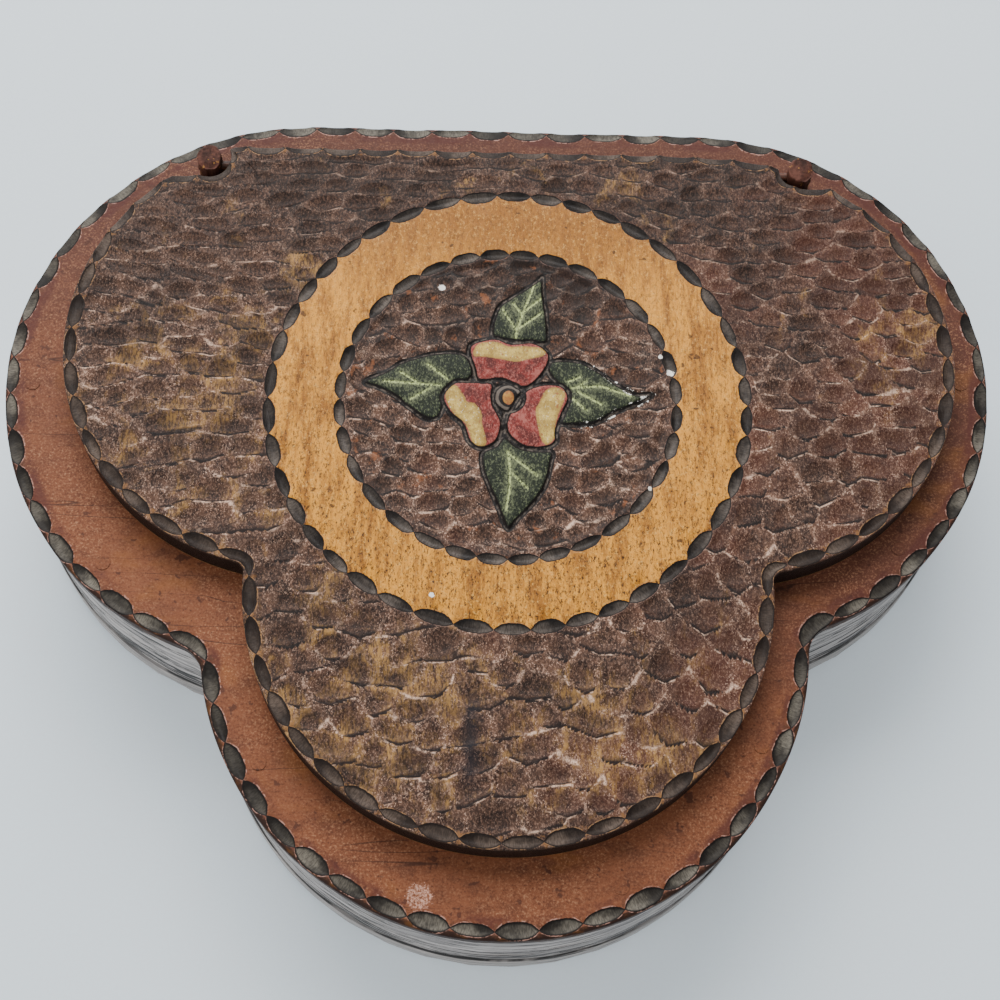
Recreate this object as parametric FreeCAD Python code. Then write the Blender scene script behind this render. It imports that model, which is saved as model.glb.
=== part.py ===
import FreeCAD, Part
import math
import os

"""Three-lobed birch bark box with a straight back and a carved hinged lid.

Millimetres. The origin is on the surface that the box stands on, straight below the centre of
the lid's round medallion. +X is to the right, +Y to the hinged back and +Z up.
"""

Vec = FreeCAD.Vector

# Plan of the rim board, which is also the widest outline of the body: three round lobes
LEFT_LOBE_X = -36.5
LEFT_LOBE_Y = 7.0
LEFT_LOBE_R = 55.3
RIGHT_LOBE_X = 36.7
RIGHT_LOBE_Y = 9.4
RIGHT_LOBE_R = 52.5
FRONT_LOBE_X = 0.0
FRONT_LOBE_Y = -41.0
FRONT_LOBE_R = 53.0
WAIST_FILLET = 6.0          # rounding of the two inward corners beside the front lobe

# Plan of the lid: each lobe sits off its rim lobe by a little, as it was sawn by eye
LEFT_MARGIN = 11.1          # how much smaller the lid's left lobe is than the rim's
LEFT_SHIFT_X = 0.3
LEFT_SHIFT_Y = 4.6
RIGHT_MARGIN = 10.1
RIGHT_SHIFT_X = 2.3
RIGHT_SHIFT_Y = 0.6
FRONT_MARGIN = 7.3
FRONT_SHIFT_X = 0.3
FRONT_SHIFT_Y = 6.3
LID_WAIST_FILLET = 2.0

# Boards and walls
BOTTOM_THICKNESS = 7.0
WALL_HEIGHT = 23.0          # from the bottom board to the rim board
RIM_THICKNESS = 3.0
LID_THICKNESS = 6.5
WOOD_WALL = 8.5             # thickness of the sawn wooden wall inside the bark
BARK = 1.2                  # thickness of the bark strip
RIM_OVERHANG = 0.6          # the rim board stands proud of the bark by this
BOTTOM_OVERHANG = 0.3       # and the bottom board by this
GLUE_LINE = 0.1             # between the bark and the wooden wall
SEAM_GAP = 0.3              # the two ends of the bark strip nearly meet at the back
LID_LAP = 5.0               # the lid rests on the rim board by this width all round
EDGE_BREAK = 0.4            # chamfer on the outer edges of the rim and bottom boards

# Hinge: two wooden posts in the rim, with a level pin from each into the lid
HINGE_SETBACK = 11.5        # hinge line in front of the straight back edge of the rim
HINGE_HEIGHT = 3.2          # hinge line above the rim board
HINGE_OPENING_GAP = 3.0     # rim board left between the hinge line and the opening
BARREL_GAP = 0.25           # rounded back edge of the lid above the rim board
LID_STOP_ANGLE = 100.0      # degrees, where the flat on the back edge comes down on the rim
POST_DIAMETER = 4.8
POST_ACROSS_FLATS = 4.6     # the part above the rim is whittled to flats
POST_FLAT_COUNT = 8
POST_EDGE_DISTANCE = 7.3    # post's centre line from the rim's outer edge
POST_RISE = 0.3             # post above the lid's top
POST_DEPTH = 9.0            # post in the wooden wall, below the rim board
POST_TOP_CHAMFER = 0.9
NOTCH_RADIUS = 4.2          # notch in the lid's back corner: round about the post, then
                            # straight out to the side
PIN_DIAMETER = 1.8
PIN_IN_LID = 7.0            # length of pin inside the lid
PIN_END_GAP = 0.5           # free length of the hole past the pin
PIN_CLEARANCE = 0.05        # radial, pin in the lid's hole, where it turns
DRIVEN_CLEARANCE = 0.02     # radial, pins, posts and pegs that are driven and glued

# Pegs that hold the rim board down and the bottom board up, into the wooden wall
PEG_DIAMETER = 2.6
PEG_DEPTH = 9.0             # in the wooden wall
PEG_SETBACK = 3.2           # peg's centre line inside the wooden wall's outer face
PEG_RECESS = 0.2            # bottom pegs are cut off this far inside the bottom's face
PEG_PROUD = 0.1             # rim pegs stand above the rim board by this
SIDE_PEG_COUNT = 3          # on each side lobe, evenly between its post and its waist
FRONT_PEG_COUNT = 4         # on the front lobe, evenly between the two waists

# Plain ring on the lid's top, with a round border cut along each of its two edges
RING_INNER_R = 31.4
RING_OUTER_R = 41.8
BORDER_WIDTH = 2.2
BORDER_DEPTH = 0.7

RIM_LOBES = (
    (LEFT_LOBE_X, LEFT_LOBE_Y, LEFT_LOBE_R),
    (RIGHT_LOBE_X, RIGHT_LOBE_Y, RIGHT_LOBE_R),
    (FRONT_LOBE_X, FRONT_LOBE_Y, FRONT_LOBE_R),
)
LID_LOBES = (
    (LEFT_LOBE_X + LEFT_SHIFT_X, LEFT_LOBE_Y + LEFT_SHIFT_Y, LEFT_LOBE_R - LEFT_MARGIN),
    (RIGHT_LOBE_X + RIGHT_SHIFT_X, RIGHT_LOBE_Y + RIGHT_SHIFT_Y, RIGHT_LOBE_R - RIGHT_MARGIN),
    (FRONT_LOBE_X + FRONT_SHIFT_X, FRONT_LOBE_Y + FRONT_SHIFT_Y, FRONT_LOBE_R - FRONT_MARGIN),
)

WALL_TOP = BOTTOM_THICKNESS + WALL_HEIGHT
RIM_TOP = WALL_TOP + RIM_THICKNESS
LID_TOP = RIM_TOP + LID_THICKNESS
WOOD_INSET = RIM_OVERHANG + BARK + GLUE_LINE
CAVITY_INSET = WOOD_INSET + WOOD_WALL
PEG_INSET = WOOD_INSET + PEG_SETBACK

BACK_EDGE_Y = min(LEFT_LOBE_Y + LEFT_LOBE_R, RIGHT_LOBE_Y + RIGHT_LOBE_R)
HINGE_Y = BACK_EDGE_Y - HINGE_SETBACK
HINGE_Z = RIM_TOP + HINGE_HEIGHT
FAR = 4 * (LEFT_LOBE_R + RIGHT_LOBE_R)


def on_circle(x, y, radius, angle):
    """Point of a circle at an angle in radians from +X."""
    return Vec(x + radius * math.cos(angle), y + radius * math.sin(angle), 0)


def arc_clockwise(lobe, start, end):
    """Arc of a lobe from one point to another, running clockwise."""
    x, y, radius = lobe
    first = math.atan2(start.y - y, start.x - x)
    last = math.atan2(end.y - y, end.x - x)
    middle = first - ((first - last) % (2 * math.pi)) / 2
    return Part.Arc(start, on_circle(x, y, radius, middle), end)


def waist_arc(lobe, following, radius):
    """Inward corner between two lobes, rounded: an arc that touches both from outside."""
    centre_a = Vec(lobe[0], lobe[1], 0)
    centre_b = Vec(following[0], following[1], 0)
    reach_a = lobe[2] + radius
    reach_b = following[2] + radius
    along = centre_b - centre_a
    distance = along.Length
    along.normalize()
    outwards = Vec(-along.y, along.x, 0)
    ahead = (reach_a ** 2 - reach_b ** 2 + distance ** 2) / (2 * distance)
    aside = math.sqrt(reach_a ** 2 - ahead ** 2)
    centre = centre_a + along * ahead + outwards * aside
    to_a = (centre_a - centre).normalize()
    to_b = (centre_b - centre).normalize()
    halfway = (to_a + to_b).normalize()
    return Part.Arc(centre + to_a * radius, centre + halfway * radius, centre + to_b * radius)


def trefoil(lobes, waist_fillet, inset=0.0):
    """Face with the outline of three lobes and a straight back, moved inwards by inset."""
    left, right, front = [(x, y, radius - inset) for x, y, radius in lobes]
    fillet = waist_fillet + inset
    across = Vec(right[0] - left[0], right[1] - left[1], 0)
    lean = math.atan2(across.y, across.x) + math.acos((left[2] - right[2]) / across.Length)
    back_left = on_circle(left[0], left[1], left[2], lean)
    back_right = on_circle(right[0], right[1], right[2], lean)
    right_waist = waist_arc(right, front, fillet)
    left_waist = waist_arc(front, left, fillet)
    curves = [
        Part.LineSegment(back_left, back_right),
        arc_clockwise(right, back_right, right_waist.StartPoint),
        right_waist,
        arc_clockwise(front, right_waist.EndPoint, left_waist.StartPoint),
        left_waist,
        arc_clockwise(left, left_waist.EndPoint, back_left),
    ]
    return Part.Face(Part.Wire([curve.toShape() for curve in curves]))


def raised(face, low, high):
    """Board with the outline of a face, from one height to another."""
    board = face.extrude(Vec(0, 0, high - low))
    board.translate(Vec(0, 0, low))
    return board


def upright(x, y, low, high, diameter):
    """Round rod or hole along Z."""
    return Part.makeCylinder(diameter / 2, high - low, Vec(x, y, low))


def edges_at(shape, height):
    """Edges that lie wholly at one height."""
    level = []
    for edge in shape.Edges:
        box = edge.BoundBox
        if abs(box.ZMin - height) < 1e-6 and abs(box.ZMax - height) < 1e-6:
            level.append(edge)
    return level


def post_centre(lobe, side):
    """Centre of a hinge post: on the hinge line, at its distance from the rim's edge."""
    x, y, radius = lobe
    reach = radius - POST_EDGE_DISTANCE
    return x + side * math.sqrt(reach ** 2 - (HINGE_Y - y) ** 2)


LEFT_POST_X = post_centre(RIM_LOBES[0], -1)
RIGHT_POST_X = post_centre(RIM_LOBES[1], 1)
POST_PLACES = (("left", LEFT_POST_X, 1), ("right", RIGHT_POST_X, -1))


def angle_at(lobe, point):
    """Direction from a lobe's centre to a point, in radians from +X."""
    return math.atan2(point.y - lobe[1], point.x - lobe[0])


def pegs_along(lobe, start, end, count):
    """Peg centres spread evenly along a lobe, clockwise between two directions."""
    x, y, radius = lobe
    share = ((start - end) % (2 * math.pi)) / count
    return [on_circle(x, y, radius - PEG_INSET, start - (i + 0.5) * share) for i in range(count)]


def peg_places():
    """Centres of the pegs, which follow the outer face of the wooden wall."""
    left, right, front = RIM_LOBES
    left_post = angle_at(left, Vec(LEFT_POST_X, HINGE_Y, 0))
    right_post = angle_at(right, Vec(RIGHT_POST_X, HINGE_Y, 0))
    right_waist = waist_arc(right, front, WAIST_FILLET)
    left_waist = waist_arc(front, left, WAIST_FILLET)
    right_end = angle_at(right, right_waist.StartPoint)
    front_start = angle_at(front, right_waist.EndPoint)
    front_end = angle_at(front, left_waist.StartPoint)
    left_start = angle_at(left, left_waist.EndPoint)
    places = pegs_along(right, right_post, right_end, SIDE_PEG_COUNT)
    places += pegs_along(front, front_start, front_end, FRONT_PEG_COUNT)
    places += pegs_along(left, left_start, left_post, SIDE_PEG_COUNT)
    return places


def peg_rods(low, high, diameter):
    """One rod for each peg place, between two heights."""
    return [upright(place.x, place.y, low, high, diameter) for place in peg_places()]


def bottom_board():
    """Board that closes the box below, with its edge in view under the bark."""
    inset = RIM_OVERHANG - BOTTOM_OVERHANG
    board = raised(trefoil(RIM_LOBES, WAIST_FILLET, inset), 0, BOTTOM_THICKNESS)
    board = board.makeChamfer(EDGE_BREAK, edges_at(board, 0))
    holes = peg_rods(-1, BOTTOM_THICKNESS + 1, PEG_DIAMETER + 2 * DRIVEN_CLEARANCE)
    return board.cut(Part.makeCompound(holes))


def inner_wall():
    """Sawn wooden wall, bored from above for posts and pegs and from below for pegs."""
    outer = raised(trefoil(RIM_LOBES, WAIST_FILLET, WOOD_INSET), BOTTOM_THICKNESS, WALL_TOP)
    hollow = raised(
        trefoil(RIM_LOBES, WAIST_FILLET, CAVITY_INSET), BOTTOM_THICKNESS - 1, WALL_TOP + 1
    )
    bore = PEG_DIAMETER + 2 * DRIVEN_CLEARANCE
    cuts = peg_rods(WALL_TOP - PEG_DEPTH, WALL_TOP + 1, bore)
    cuts += peg_rods(BOTTOM_THICKNESS - 1, BOTTOM_THICKNESS + PEG_DEPTH, bore)
    post_bore = POST_DIAMETER + 2 * DRIVEN_CLEARANCE
    for _, x, _ in POST_PLACES:
        cuts.append(upright(x, HINGE_Y, WALL_TOP - POST_DEPTH, WALL_TOP + 1, post_bore))
    return outer.cut(hollow).cut(Part.makeCompound(cuts))


def bark_wrap():
    """Strip of bark bent round the wooden wall, its ends meeting at the middle of the back."""
    outer = raised(trefoil(RIM_LOBES, WAIST_FILLET, RIM_OVERHANG), BOTTOM_THICKNESS, WALL_TOP)
    inner = raised(
        trefoil(RIM_LOBES, WAIST_FILLET, RIM_OVERHANG + BARK),
        BOTTOM_THICKNESS - 1,
        WALL_TOP + 1,
    )
    corner = Vec(-SEAM_GAP / 2, HINGE_Y, BOTTOM_THICKNESS - 1)
    seam = Part.makeBox(SEAM_GAP, 2 * HINGE_SETBACK, WALL_HEIGHT + 2, corner)
    return outer.cut(inner).cut(seam)


def opening_face(inset):
    """Outline of the opening in the rim board: the lid's outline moved inwards, and kept
    in front of the hinge line."""
    face = trefoil(LID_LOBES, LID_WAIST_FILLET, inset)
    front = Part.makePlane(2 * FAR, FAR, Vec(-FAR, HINGE_Y - HINGE_OPENING_GAP - FAR, 0))
    return face.common(front).Faces[0]


def rim_board():
    """Top board of the body with the opening that the lid covers."""
    board = raised(trefoil(RIM_LOBES, WAIST_FILLET), WALL_TOP, RIM_TOP)
    board = board.makeChamfer(EDGE_BREAK, edges_at(board, RIM_TOP))
    cuts = [raised(opening_face(LID_LAP), WALL_TOP - 1, RIM_TOP + 1)]
    cuts += peg_rods(WALL_TOP - 1, RIM_TOP + 1, PEG_DIAMETER + 2 * DRIVEN_CLEARANCE)
    post_bore = POST_DIAMETER + 2 * DRIVEN_CLEARANCE
    for _, x, _ in POST_PLACES:
        cuts.append(upright(x, HINGE_Y, WALL_TOP - 1, RIM_TOP + 1, post_bore))
    return board.cut(Part.makeCompound(cuts))


def rim_pegs():
    """Pegs from the rim board's top down into the wooden wall."""
    return Part.makeCompound(peg_rods(WALL_TOP - PEG_DEPTH, RIM_TOP + PEG_PROUD, PEG_DIAMETER))


def bottom_pegs():
    """Pegs from the bottom board's face up into the wooden wall."""
    return Part.makeCompound(peg_rods(PEG_RECESS, BOTTOM_THICKNESS + PEG_DEPTH, PEG_DIAMETER))


def pin_rod(x, side, diameter, start, end):
    """Level round rod along the hinge line, from start to end measured from a post's centre
    towards the lid."""
    return Part.makeCylinder(
        diameter / 2, end - start, Vec(x + side * start, HINGE_Y, HINGE_Z), Vec(side, 0, 0)
    )


def hinge_post(x, side):
    """Post set in the wall, whittled to eight flats above the rim and bored for its pin."""
    foot = upright(x, HINGE_Y, WALL_TOP - POST_DEPTH, RIM_TOP, POST_DIAMETER)
    top = LID_TOP + POST_RISE
    head = upright(x, HINGE_Y, RIM_TOP, top, POST_DIAMETER)
    head = head.makeChamfer(POST_TOP_CHAMFER, edges_at(head, top))
    half_turn = math.pi / POST_FLAT_COUNT
    corner = POST_ACROSS_FLATS / 2 / math.cos(half_turn)
    ring = []
    for i in range(POST_FLAT_COUNT + 1):
        ring.append(on_circle(x, HINGE_Y, corner, (2 * i + 1) * half_turn))
    prism = raised(Part.Face(Part.makePolygon(ring)), RIM_TOP, top)
    bore = PIN_DIAMETER + 2 * DRIVEN_CLEARANCE
    hole = pin_rod(x, side, bore, -POST_DIAMETER, POST_DIAMETER)
    return foot.fuse(head.common(prism)).removeSplitter().cut(hole)


def hinge_pin(x, side):
    """Pin driven through a post and standing into the lid, which turns on it."""
    return pin_rod(x, side, PIN_DIAMETER, -POST_ACROSS_FLATS / 2, NOTCH_RADIUS + PIN_IN_LID)


def back_edge_profile():
    """Section of the lid across the hinge line, as a face in the YZ plane: rounded below
    about the hinge line, and flat above where the open lid rests on the rim."""
    radius = HINGE_HEIGHT - BARREL_GAP
    rise = math.radians(LID_STOP_ANGLE - 90)
    top = LID_THICKNESS - HINGE_HEIGHT

    def point(y, z):
        return Vec(0, HINGE_Y + y, HINGE_Z + z)

    round_end = point(radius * math.cos(rise), radius * math.sin(rise))
    flat_length = (top - radius * math.sin(rise)) / math.cos(rise)
    flat_end = point(radius * math.cos(rise) - flat_length * math.sin(rise), top)
    below = point(0, -radius)
    half = (rise - math.pi / 2) / 2
    round_middle = point(radius * math.cos(half), radius * math.sin(half))
    relief = point(-radius / 2, -HINGE_HEIGHT)
    edges = [
        Part.makeLine(point(-FAR, -HINGE_HEIGHT), relief),
        Part.makeLine(relief, below),
        Part.Arc(below, round_middle, round_end).toShape(),
        Part.makeLine(round_end, flat_end),
        Part.makeLine(flat_end, point(-FAR, top)),
        Part.makeLine(point(-FAR, top), point(-FAR, -HINGE_HEIGHT)),
    ]
    return Part.Face(Part.Wire(edges))


def border_groove(radius):
    """Round border cut in the lid's top, with a V section."""
    inside = Vec(radius - BORDER_WIDTH / 2, 0, LID_TOP)
    outside = Vec(radius + BORDER_WIDTH / 2, 0, LID_TOP)
    section = [
        inside,
        Vec(radius, 0, LID_TOP - BORDER_DEPTH),
        outside,
        outside + Vec(0, 0, BORDER_DEPTH),
        inside + Vec(0, 0, BORDER_DEPTH),
        inside,
    ]
    face = Part.Face(Part.makePolygon(section))
    return face.revolve(Vec(0, 0, 0), Vec(0, 0, 1), 360)


def shoulder_cut(x, side):
    """Block that opens a notch to the side of the lid, level with the notch's front."""
    corner = Vec(min(x, x - side * FAR), HINGE_Y - NOTCH_RADIUS, RIM_TOP - 1)
    return Part.makeBox(FAR, FAR, LID_THICKNESS + 2, corner)


def lid_board():
    """Lid: one board with a rounded back edge, notched about the posts and bored for the
    pins that it turns on."""
    board = raised(trefoil(LID_LOBES, LID_WAIST_FILLET), RIM_TOP, LID_TOP)
    section = back_edge_profile().extrude(Vec(2 * FAR, 0, 0))
    section.translate(Vec(-FAR, 0, 0))
    board = board.common(section)
    bore = PIN_DIAMETER + 2 * PIN_CLEARANCE
    cuts = [
        border_groove(RING_INNER_R - BORDER_WIDTH / 2),
        border_groove(RING_OUTER_R + BORDER_WIDTH / 2),
    ]
    for _, x, side in POST_PLACES:
        cuts.append(upright(x, HINGE_Y, RIM_TOP - 1, LID_TOP + 1, 2 * NOTCH_RADIUS))
        cuts.append(shoulder_cut(x, side))
        cuts.append(pin_rod(x, side, bore, 0, NOTCH_RADIUS + PIN_IN_LID + PIN_END_GAP))
    for tool in cuts:
        board = board.cut(tool)
    return board


def build_parts():
    """All pieces by node name."""
    parts = {
        "bottom_board": bottom_board(),
        "inner_wall": inner_wall(),
        "bark_wrap": bark_wrap(),
        "rim_board": rim_board(),
        "rim_pegs": rim_pegs(),
        "bottom_pegs": bottom_pegs(),
        "lid_board": lid_board(),
    }
    for name, x, side in POST_PLACES:
        parts[name + "_hinge_post"] = hinge_post(x, side)
        parts[name + "_hinge_pin"] = hinge_pin(x, side)
    return parts


os.makedirs("parts", exist_ok=True)
for node, shape in build_parts().items():
    if shape.ShapeType == "Compound" and len(shape.Solids) == 1:
        shape = shape.Solids[0]
    shape.exportStep("parts/" + node + ".step")
    box = shape.BoundBox
    size = "x %.2f..%.2f y %.2f..%.2f z %.2f..%.2f" % (
        box.XMin, box.XMax, box.YMin, box.YMax, box.ZMin, box.ZMax
    )
    print(node, len(shape.Solids), "solids", "valid", shape.isValid(), size)
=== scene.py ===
"""Three-lobed birch bark box with a carved and painted lid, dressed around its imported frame.

Shapes are worked out in millimetres as whole arrays and put into the meshes in metres. Outlines
run clockwise seen from above, +X is to the right, +Y to the hinged back and +Z up.
"""

import logging
import math
from dataclasses import dataclass, field
from enum import Enum
from typing import Any

import bpy
import numpy as np
from mathutils import Matrix, Vector


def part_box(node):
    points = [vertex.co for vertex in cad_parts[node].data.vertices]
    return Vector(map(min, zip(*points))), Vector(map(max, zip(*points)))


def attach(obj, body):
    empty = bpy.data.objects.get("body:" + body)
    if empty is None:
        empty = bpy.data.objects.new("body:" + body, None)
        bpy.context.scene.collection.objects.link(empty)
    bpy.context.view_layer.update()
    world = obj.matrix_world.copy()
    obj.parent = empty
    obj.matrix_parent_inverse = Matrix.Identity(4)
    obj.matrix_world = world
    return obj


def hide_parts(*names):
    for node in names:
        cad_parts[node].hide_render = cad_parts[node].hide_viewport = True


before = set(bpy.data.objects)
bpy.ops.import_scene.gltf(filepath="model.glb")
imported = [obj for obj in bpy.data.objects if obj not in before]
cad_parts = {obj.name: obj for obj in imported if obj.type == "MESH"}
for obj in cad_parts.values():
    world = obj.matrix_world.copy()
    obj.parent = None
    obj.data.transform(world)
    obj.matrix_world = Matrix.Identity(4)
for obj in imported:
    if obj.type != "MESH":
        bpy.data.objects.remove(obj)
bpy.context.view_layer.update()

LOG = logging.getLogger("birch_bark_box")
MM = 0.001
TURN = 2 * math.pi
Array = np.ndarray
Lobe = tuple[float, float, float]
Spot = tuple[float, float, float]
Place = tuple[float, float]
Curves = tuple[tuple[Place, ...], ...]
SCOOP_KINDS = ("scoop_a", "scoop_b", "scoop_c", "scoop_d")

# a distance inside the edge that no border reaches, for the inner parts of a board
INNER = 9.0

# a ground that no gouge has touched: its kinds of scoop never come near each other
BLANK_GROUND = {kind: INNER * i for i, kind in enumerate(SCOOP_KINDS)}
BLANK_GROUND |= {"level": 0.0, "tone": 0.5, "toe": 0.0, "open": 0.0}

# settings of nodes unless others are given: steps are smooth and maths multiplies
USUAL_SETTINGS: dict[str, dict[str, str]] = {
    "MapRange": {"interpolation_type": "SMOOTHSTEP"},
    "Math": {"operation": "MULTIPLY"},
}


class Body(Enum):
    """Bodies of the frame that a piece can ride on."""

    BOX = "box"
    LID = "lid"


def top_of(node: str) -> float:
    """Highest point of a frame node, in mm."""
    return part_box(node)[1].z / MM


def foot_of(node: str) -> float:
    """Lowest point of a frame node, in mm."""
    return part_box(node)[0].z / MM


def middle_of(node: str) -> Array:
    """Middle of a frame node's box, in mm."""
    low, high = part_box(node)
    return np.array((low + high) / 2) / MM


# ---- Curves in plan ----


def directions(angle: Array) -> Array:
    """Unit vectors (cos a, sin a), shape (n, 2)."""
    return np.stack([np.cos(angle), np.sin(angle)], axis=1)


def arc(centre: Array, radius: float, start: float, sweep: float, step: float = 0.25) -> Array:
    """Points of an arc: centre + radius * (cos a, sin a), a running from start over sweep.

    Args:
        centre: Centre, x and y.
        radius: Radius.
        start: First angle, in radians.
        sweep: Angle turned through, negative for clockwise.
        step: Largest distance between points.

    Returns:
        Points, shape (n, 2), without the last one.
    """
    count = max(2, int(abs(sweep) * radius / step))
    angle = start + sweep * np.arange(count) / count
    return np.asarray(centre) + radius * directions(angle)


def resampled(loop: Array, count: int) -> Array:
    """A closed polyline with its points spread evenly along it.

    Args:
        loop: Points, shape (n, 2).
        count: Number of points wanted.

    Returns:
        Points, shape (count, 2), starting where the loop starts.
    """
    closed = np.concatenate([loop, loop[:1]])
    run = np.concatenate([[0.0], np.cumsum(np.hypot(*np.diff(closed, axis=0).T))])
    wanted = run[-1] * np.arange(count) / count
    return np.stack([np.interp(wanted, run, column) for column in closed.T], axis=1)


def smoothed(values: Array, width: int) -> Array:
    """Values round a loop, each replaced by the weighted mean of its neighbours.

    Args:
        values: One value or row of values for each point.
        width: Number of neighbours, weighted by a cosine bell.

    Returns:
        Values, shaped like the first ones.
    """
    window = np.hanning(width + 2)[1:-1]
    padded = np.concatenate([values[-width:], values, values[:width]])
    columns = [np.convolve(c, window / window.sum(), "same") for c in padded.reshape(len(padded), -1).T]
    return np.stack(columns, axis=1)[width:-width].reshape(values.shape)


def outward(loop: Array, width: int = 1) -> Array:
    """Normals of an evenly spread clockwise loop: its direction turned left by a quarter turn.

    Args:
        loop: Points, shape (n, 2).
        width: Number of points that the normals are evened over.

    Returns:
        Unit vectors that point out of the loop, shape (n, 2).
    """
    along = np.roll(loop, -1, axis=0) - np.roll(loop, 1, axis=0)
    normal = np.stack([-along[:, 1], along[:, 0]], axis=1)
    normal = normal / np.linalg.norm(normal, axis=1, keepdims=True)
    if width > 1:
        normal = smoothed(normal, width)
    return normal / np.linalg.norm(normal, axis=1, keepdims=True)


def smooth_loop(places: tuple[Place, ...], each: int = 6) -> Array:
    """Closed Catmull-Rom curve through places: each span is the cubic that leaves a place along
    half the chord of its two neighbours.

    Args:
        places: Points that the curve goes through.
        each: Points worked out for each span.

    Returns:
        Points, shape (len(places) * each, 2).
    """
    knots = np.array(places, float)
    before, after, later = (np.roll(knots, shift, axis=0) for shift in (1, -1, -2))
    t = (np.arange(each) / each)[None, :, None]
    a, b, c, d = (k[:, None, :] for k in (before, knots, after, later))
    curve = 0.5 * (
        2 * b + (c - a) * t + (2 * a - 5 * b + 4 * c - d) * t**2 + (3 * b - a - 3 * c + d) * t**3
    )
    return curve.reshape(-1, 2)


def distance_to(x: Array, y: Array, line: Array) -> Array:
    """Distance of points in plan from the nearest point of an open polyline.

    Args:
        x: Places.
        y: Places.
        line: Points of the polyline, shape (n, 2).

    Returns:
        Distances, shaped like x.
    """
    nearest = np.full(len(x), np.inf)
    for (ax, ay), (bx, by) in zip(line[:-1], line[1:]):
        ux, uy = bx - ax, by - ay
        share = np.clip(((x - ax) * ux + (y - ay) * uy) / (ux * ux + uy * uy + 1e-12), 0, 1)
        nearest = np.minimum(nearest, np.hypot(x - ax - share * ux, y - ay - share * uy))
    return nearest


def signed_distance(x: Array, y: Array, loop: Array) -> Array:
    """Distance of points in plan from a closed polyline, negative inside it. A point is inside
    where a ray from it crosses the polyline an odd number of times.

    Args:
        x: Places.
        y: Places.
        loop: Points of the polyline, shape (n, 2).

    Returns:
        Distances, shaped like x.
    """
    closed = np.concatenate([loop, loop[:1]])
    inside = np.zeros(len(x), bool)
    for (ax, ay), (bx, by) in zip(closed[:-1], closed[1:]):
        crosses = (ay > y) != (by > y)
        slope = (bx - ax) / (by - ay) if by != ay else 0.0
        inside ^= crosses & (x < ax + (y - ay) * slope)
    return distance_to(x, y, closed) * np.where(inside, -1, 1)


@dataclass(frozen=True)
class Trefoil:
    """Plan of three round lobes with a straight back, each lobe as x, y and radius."""

    left: Lobe
    right: Lobe
    front: Lobe
    waist_fillet: float
    back_points: int = 300

    def _waist(self, first: Lobe, second: Lobe, fillet: float) -> tuple[Array, float, float]:
        """Circle that touches two lobes from outside.

        Args:
            first: Lobe before the waist.
            second: Lobe after the waist.
            fillet: Radius of the circle.

        Returns:
            Its centre, and its directions towards the first and the second lobe.
        """
        centre_a, centre_b = np.array(first[:2]), np.array(second[:2])
        reach_a, reach_b = first[2] + fillet, second[2] + fillet
        along = centre_b - centre_a
        distance = float(np.hypot(*along))
        along = along / distance
        ahead = (reach_a**2 - reach_b**2 + distance**2) / (2 * distance)
        aside = math.sqrt(reach_a**2 - ahead**2)
        centre = centre_a + along * ahead + np.array([-along[1], along[0]]) * aside
        to_a, to_b = centre_a - centre, centre_b - centre
        return centre, math.atan2(to_a[1], to_a[0]), math.atan2(to_b[1], to_b[0])

    def outline(self, inset: float = 0.0) -> Array:
        """Outline moved inwards: lobe arcs joined by waist arcs, and by the straight back line
        that touches both side lobes.

        Args:
            inset: Distance inside the plan.

        Returns:
            Points about a quarter of a millimetre apart, shape (n, 2), from the middle of the
            back.
        """
        left, right, front = ((x, y, r - inset) for x, y, r in (self.left, self.right, self.front))
        fillet = self.waist_fillet + inset
        across = np.array([right[0] - left[0], right[1] - left[1]])
        lean = math.atan2(across[1], across[0]) + math.acos((left[2] - right[2]) / np.hypot(*across))
        right_waist = self._waist(right, front, fillet)
        left_waist = self._waist(front, left, fillet)

        def lobe(shape: Lobe, start: float, end: float) -> Array:
            """Arc of a lobe, clockwise between two angles."""
            return arc(np.array(shape[:2]), shape[2], start, -((start - end) % TURN))

        def waist(shape: tuple[Array, float, float]) -> Array:
            """Arc of a waist, counterclockwise between its two directions."""
            return arc(shape[0], fillet, shape[1], (shape[2] - shape[1]) % TURN)

        tangent = np.array([math.cos(lean), math.sin(lean)])
        on_left = np.array(left[:2]) + left[2] * tangent
        on_right = np.array(right[:2]) + right[2] * tangent
        share = np.linspace(0, 1, self.back_points, endpoint=False)[:, None]
        loop = np.concatenate([
            on_left + (on_right - on_left) * share,
            lobe(right, lean, right_waist[1] + math.pi),
            waist(right_waist),
            lobe(front, right_waist[2] + math.pi, left_waist[1] + math.pi),
            waist(left_waist),
            lobe(left, left_waist[2] + math.pi, lean),
        ])
        middle = int(np.argmin(np.abs(loop[:self.back_points, 0])))
        return np.roll(loop, -middle, axis=0)

    def reach(self, angle: Array, inset: float = 0.0) -> Array:
        """Distance of the outline from the origin, read off between its points.

        Args:
            angle: Directions, in radians.
            inset: Distance inside the plan.

        Returns:
            Distances, shaped like angle.
        """
        loop = self.outline(inset)
        bearing = np.arctan2(loop[:, 1], loop[:, 0]) % TURN
        order = np.argsort(bearing)
        return np.interp(angle % TURN, bearing[order], np.hypot(*loop[order].T), period=TURN)


# ---- Skins ----


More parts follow.
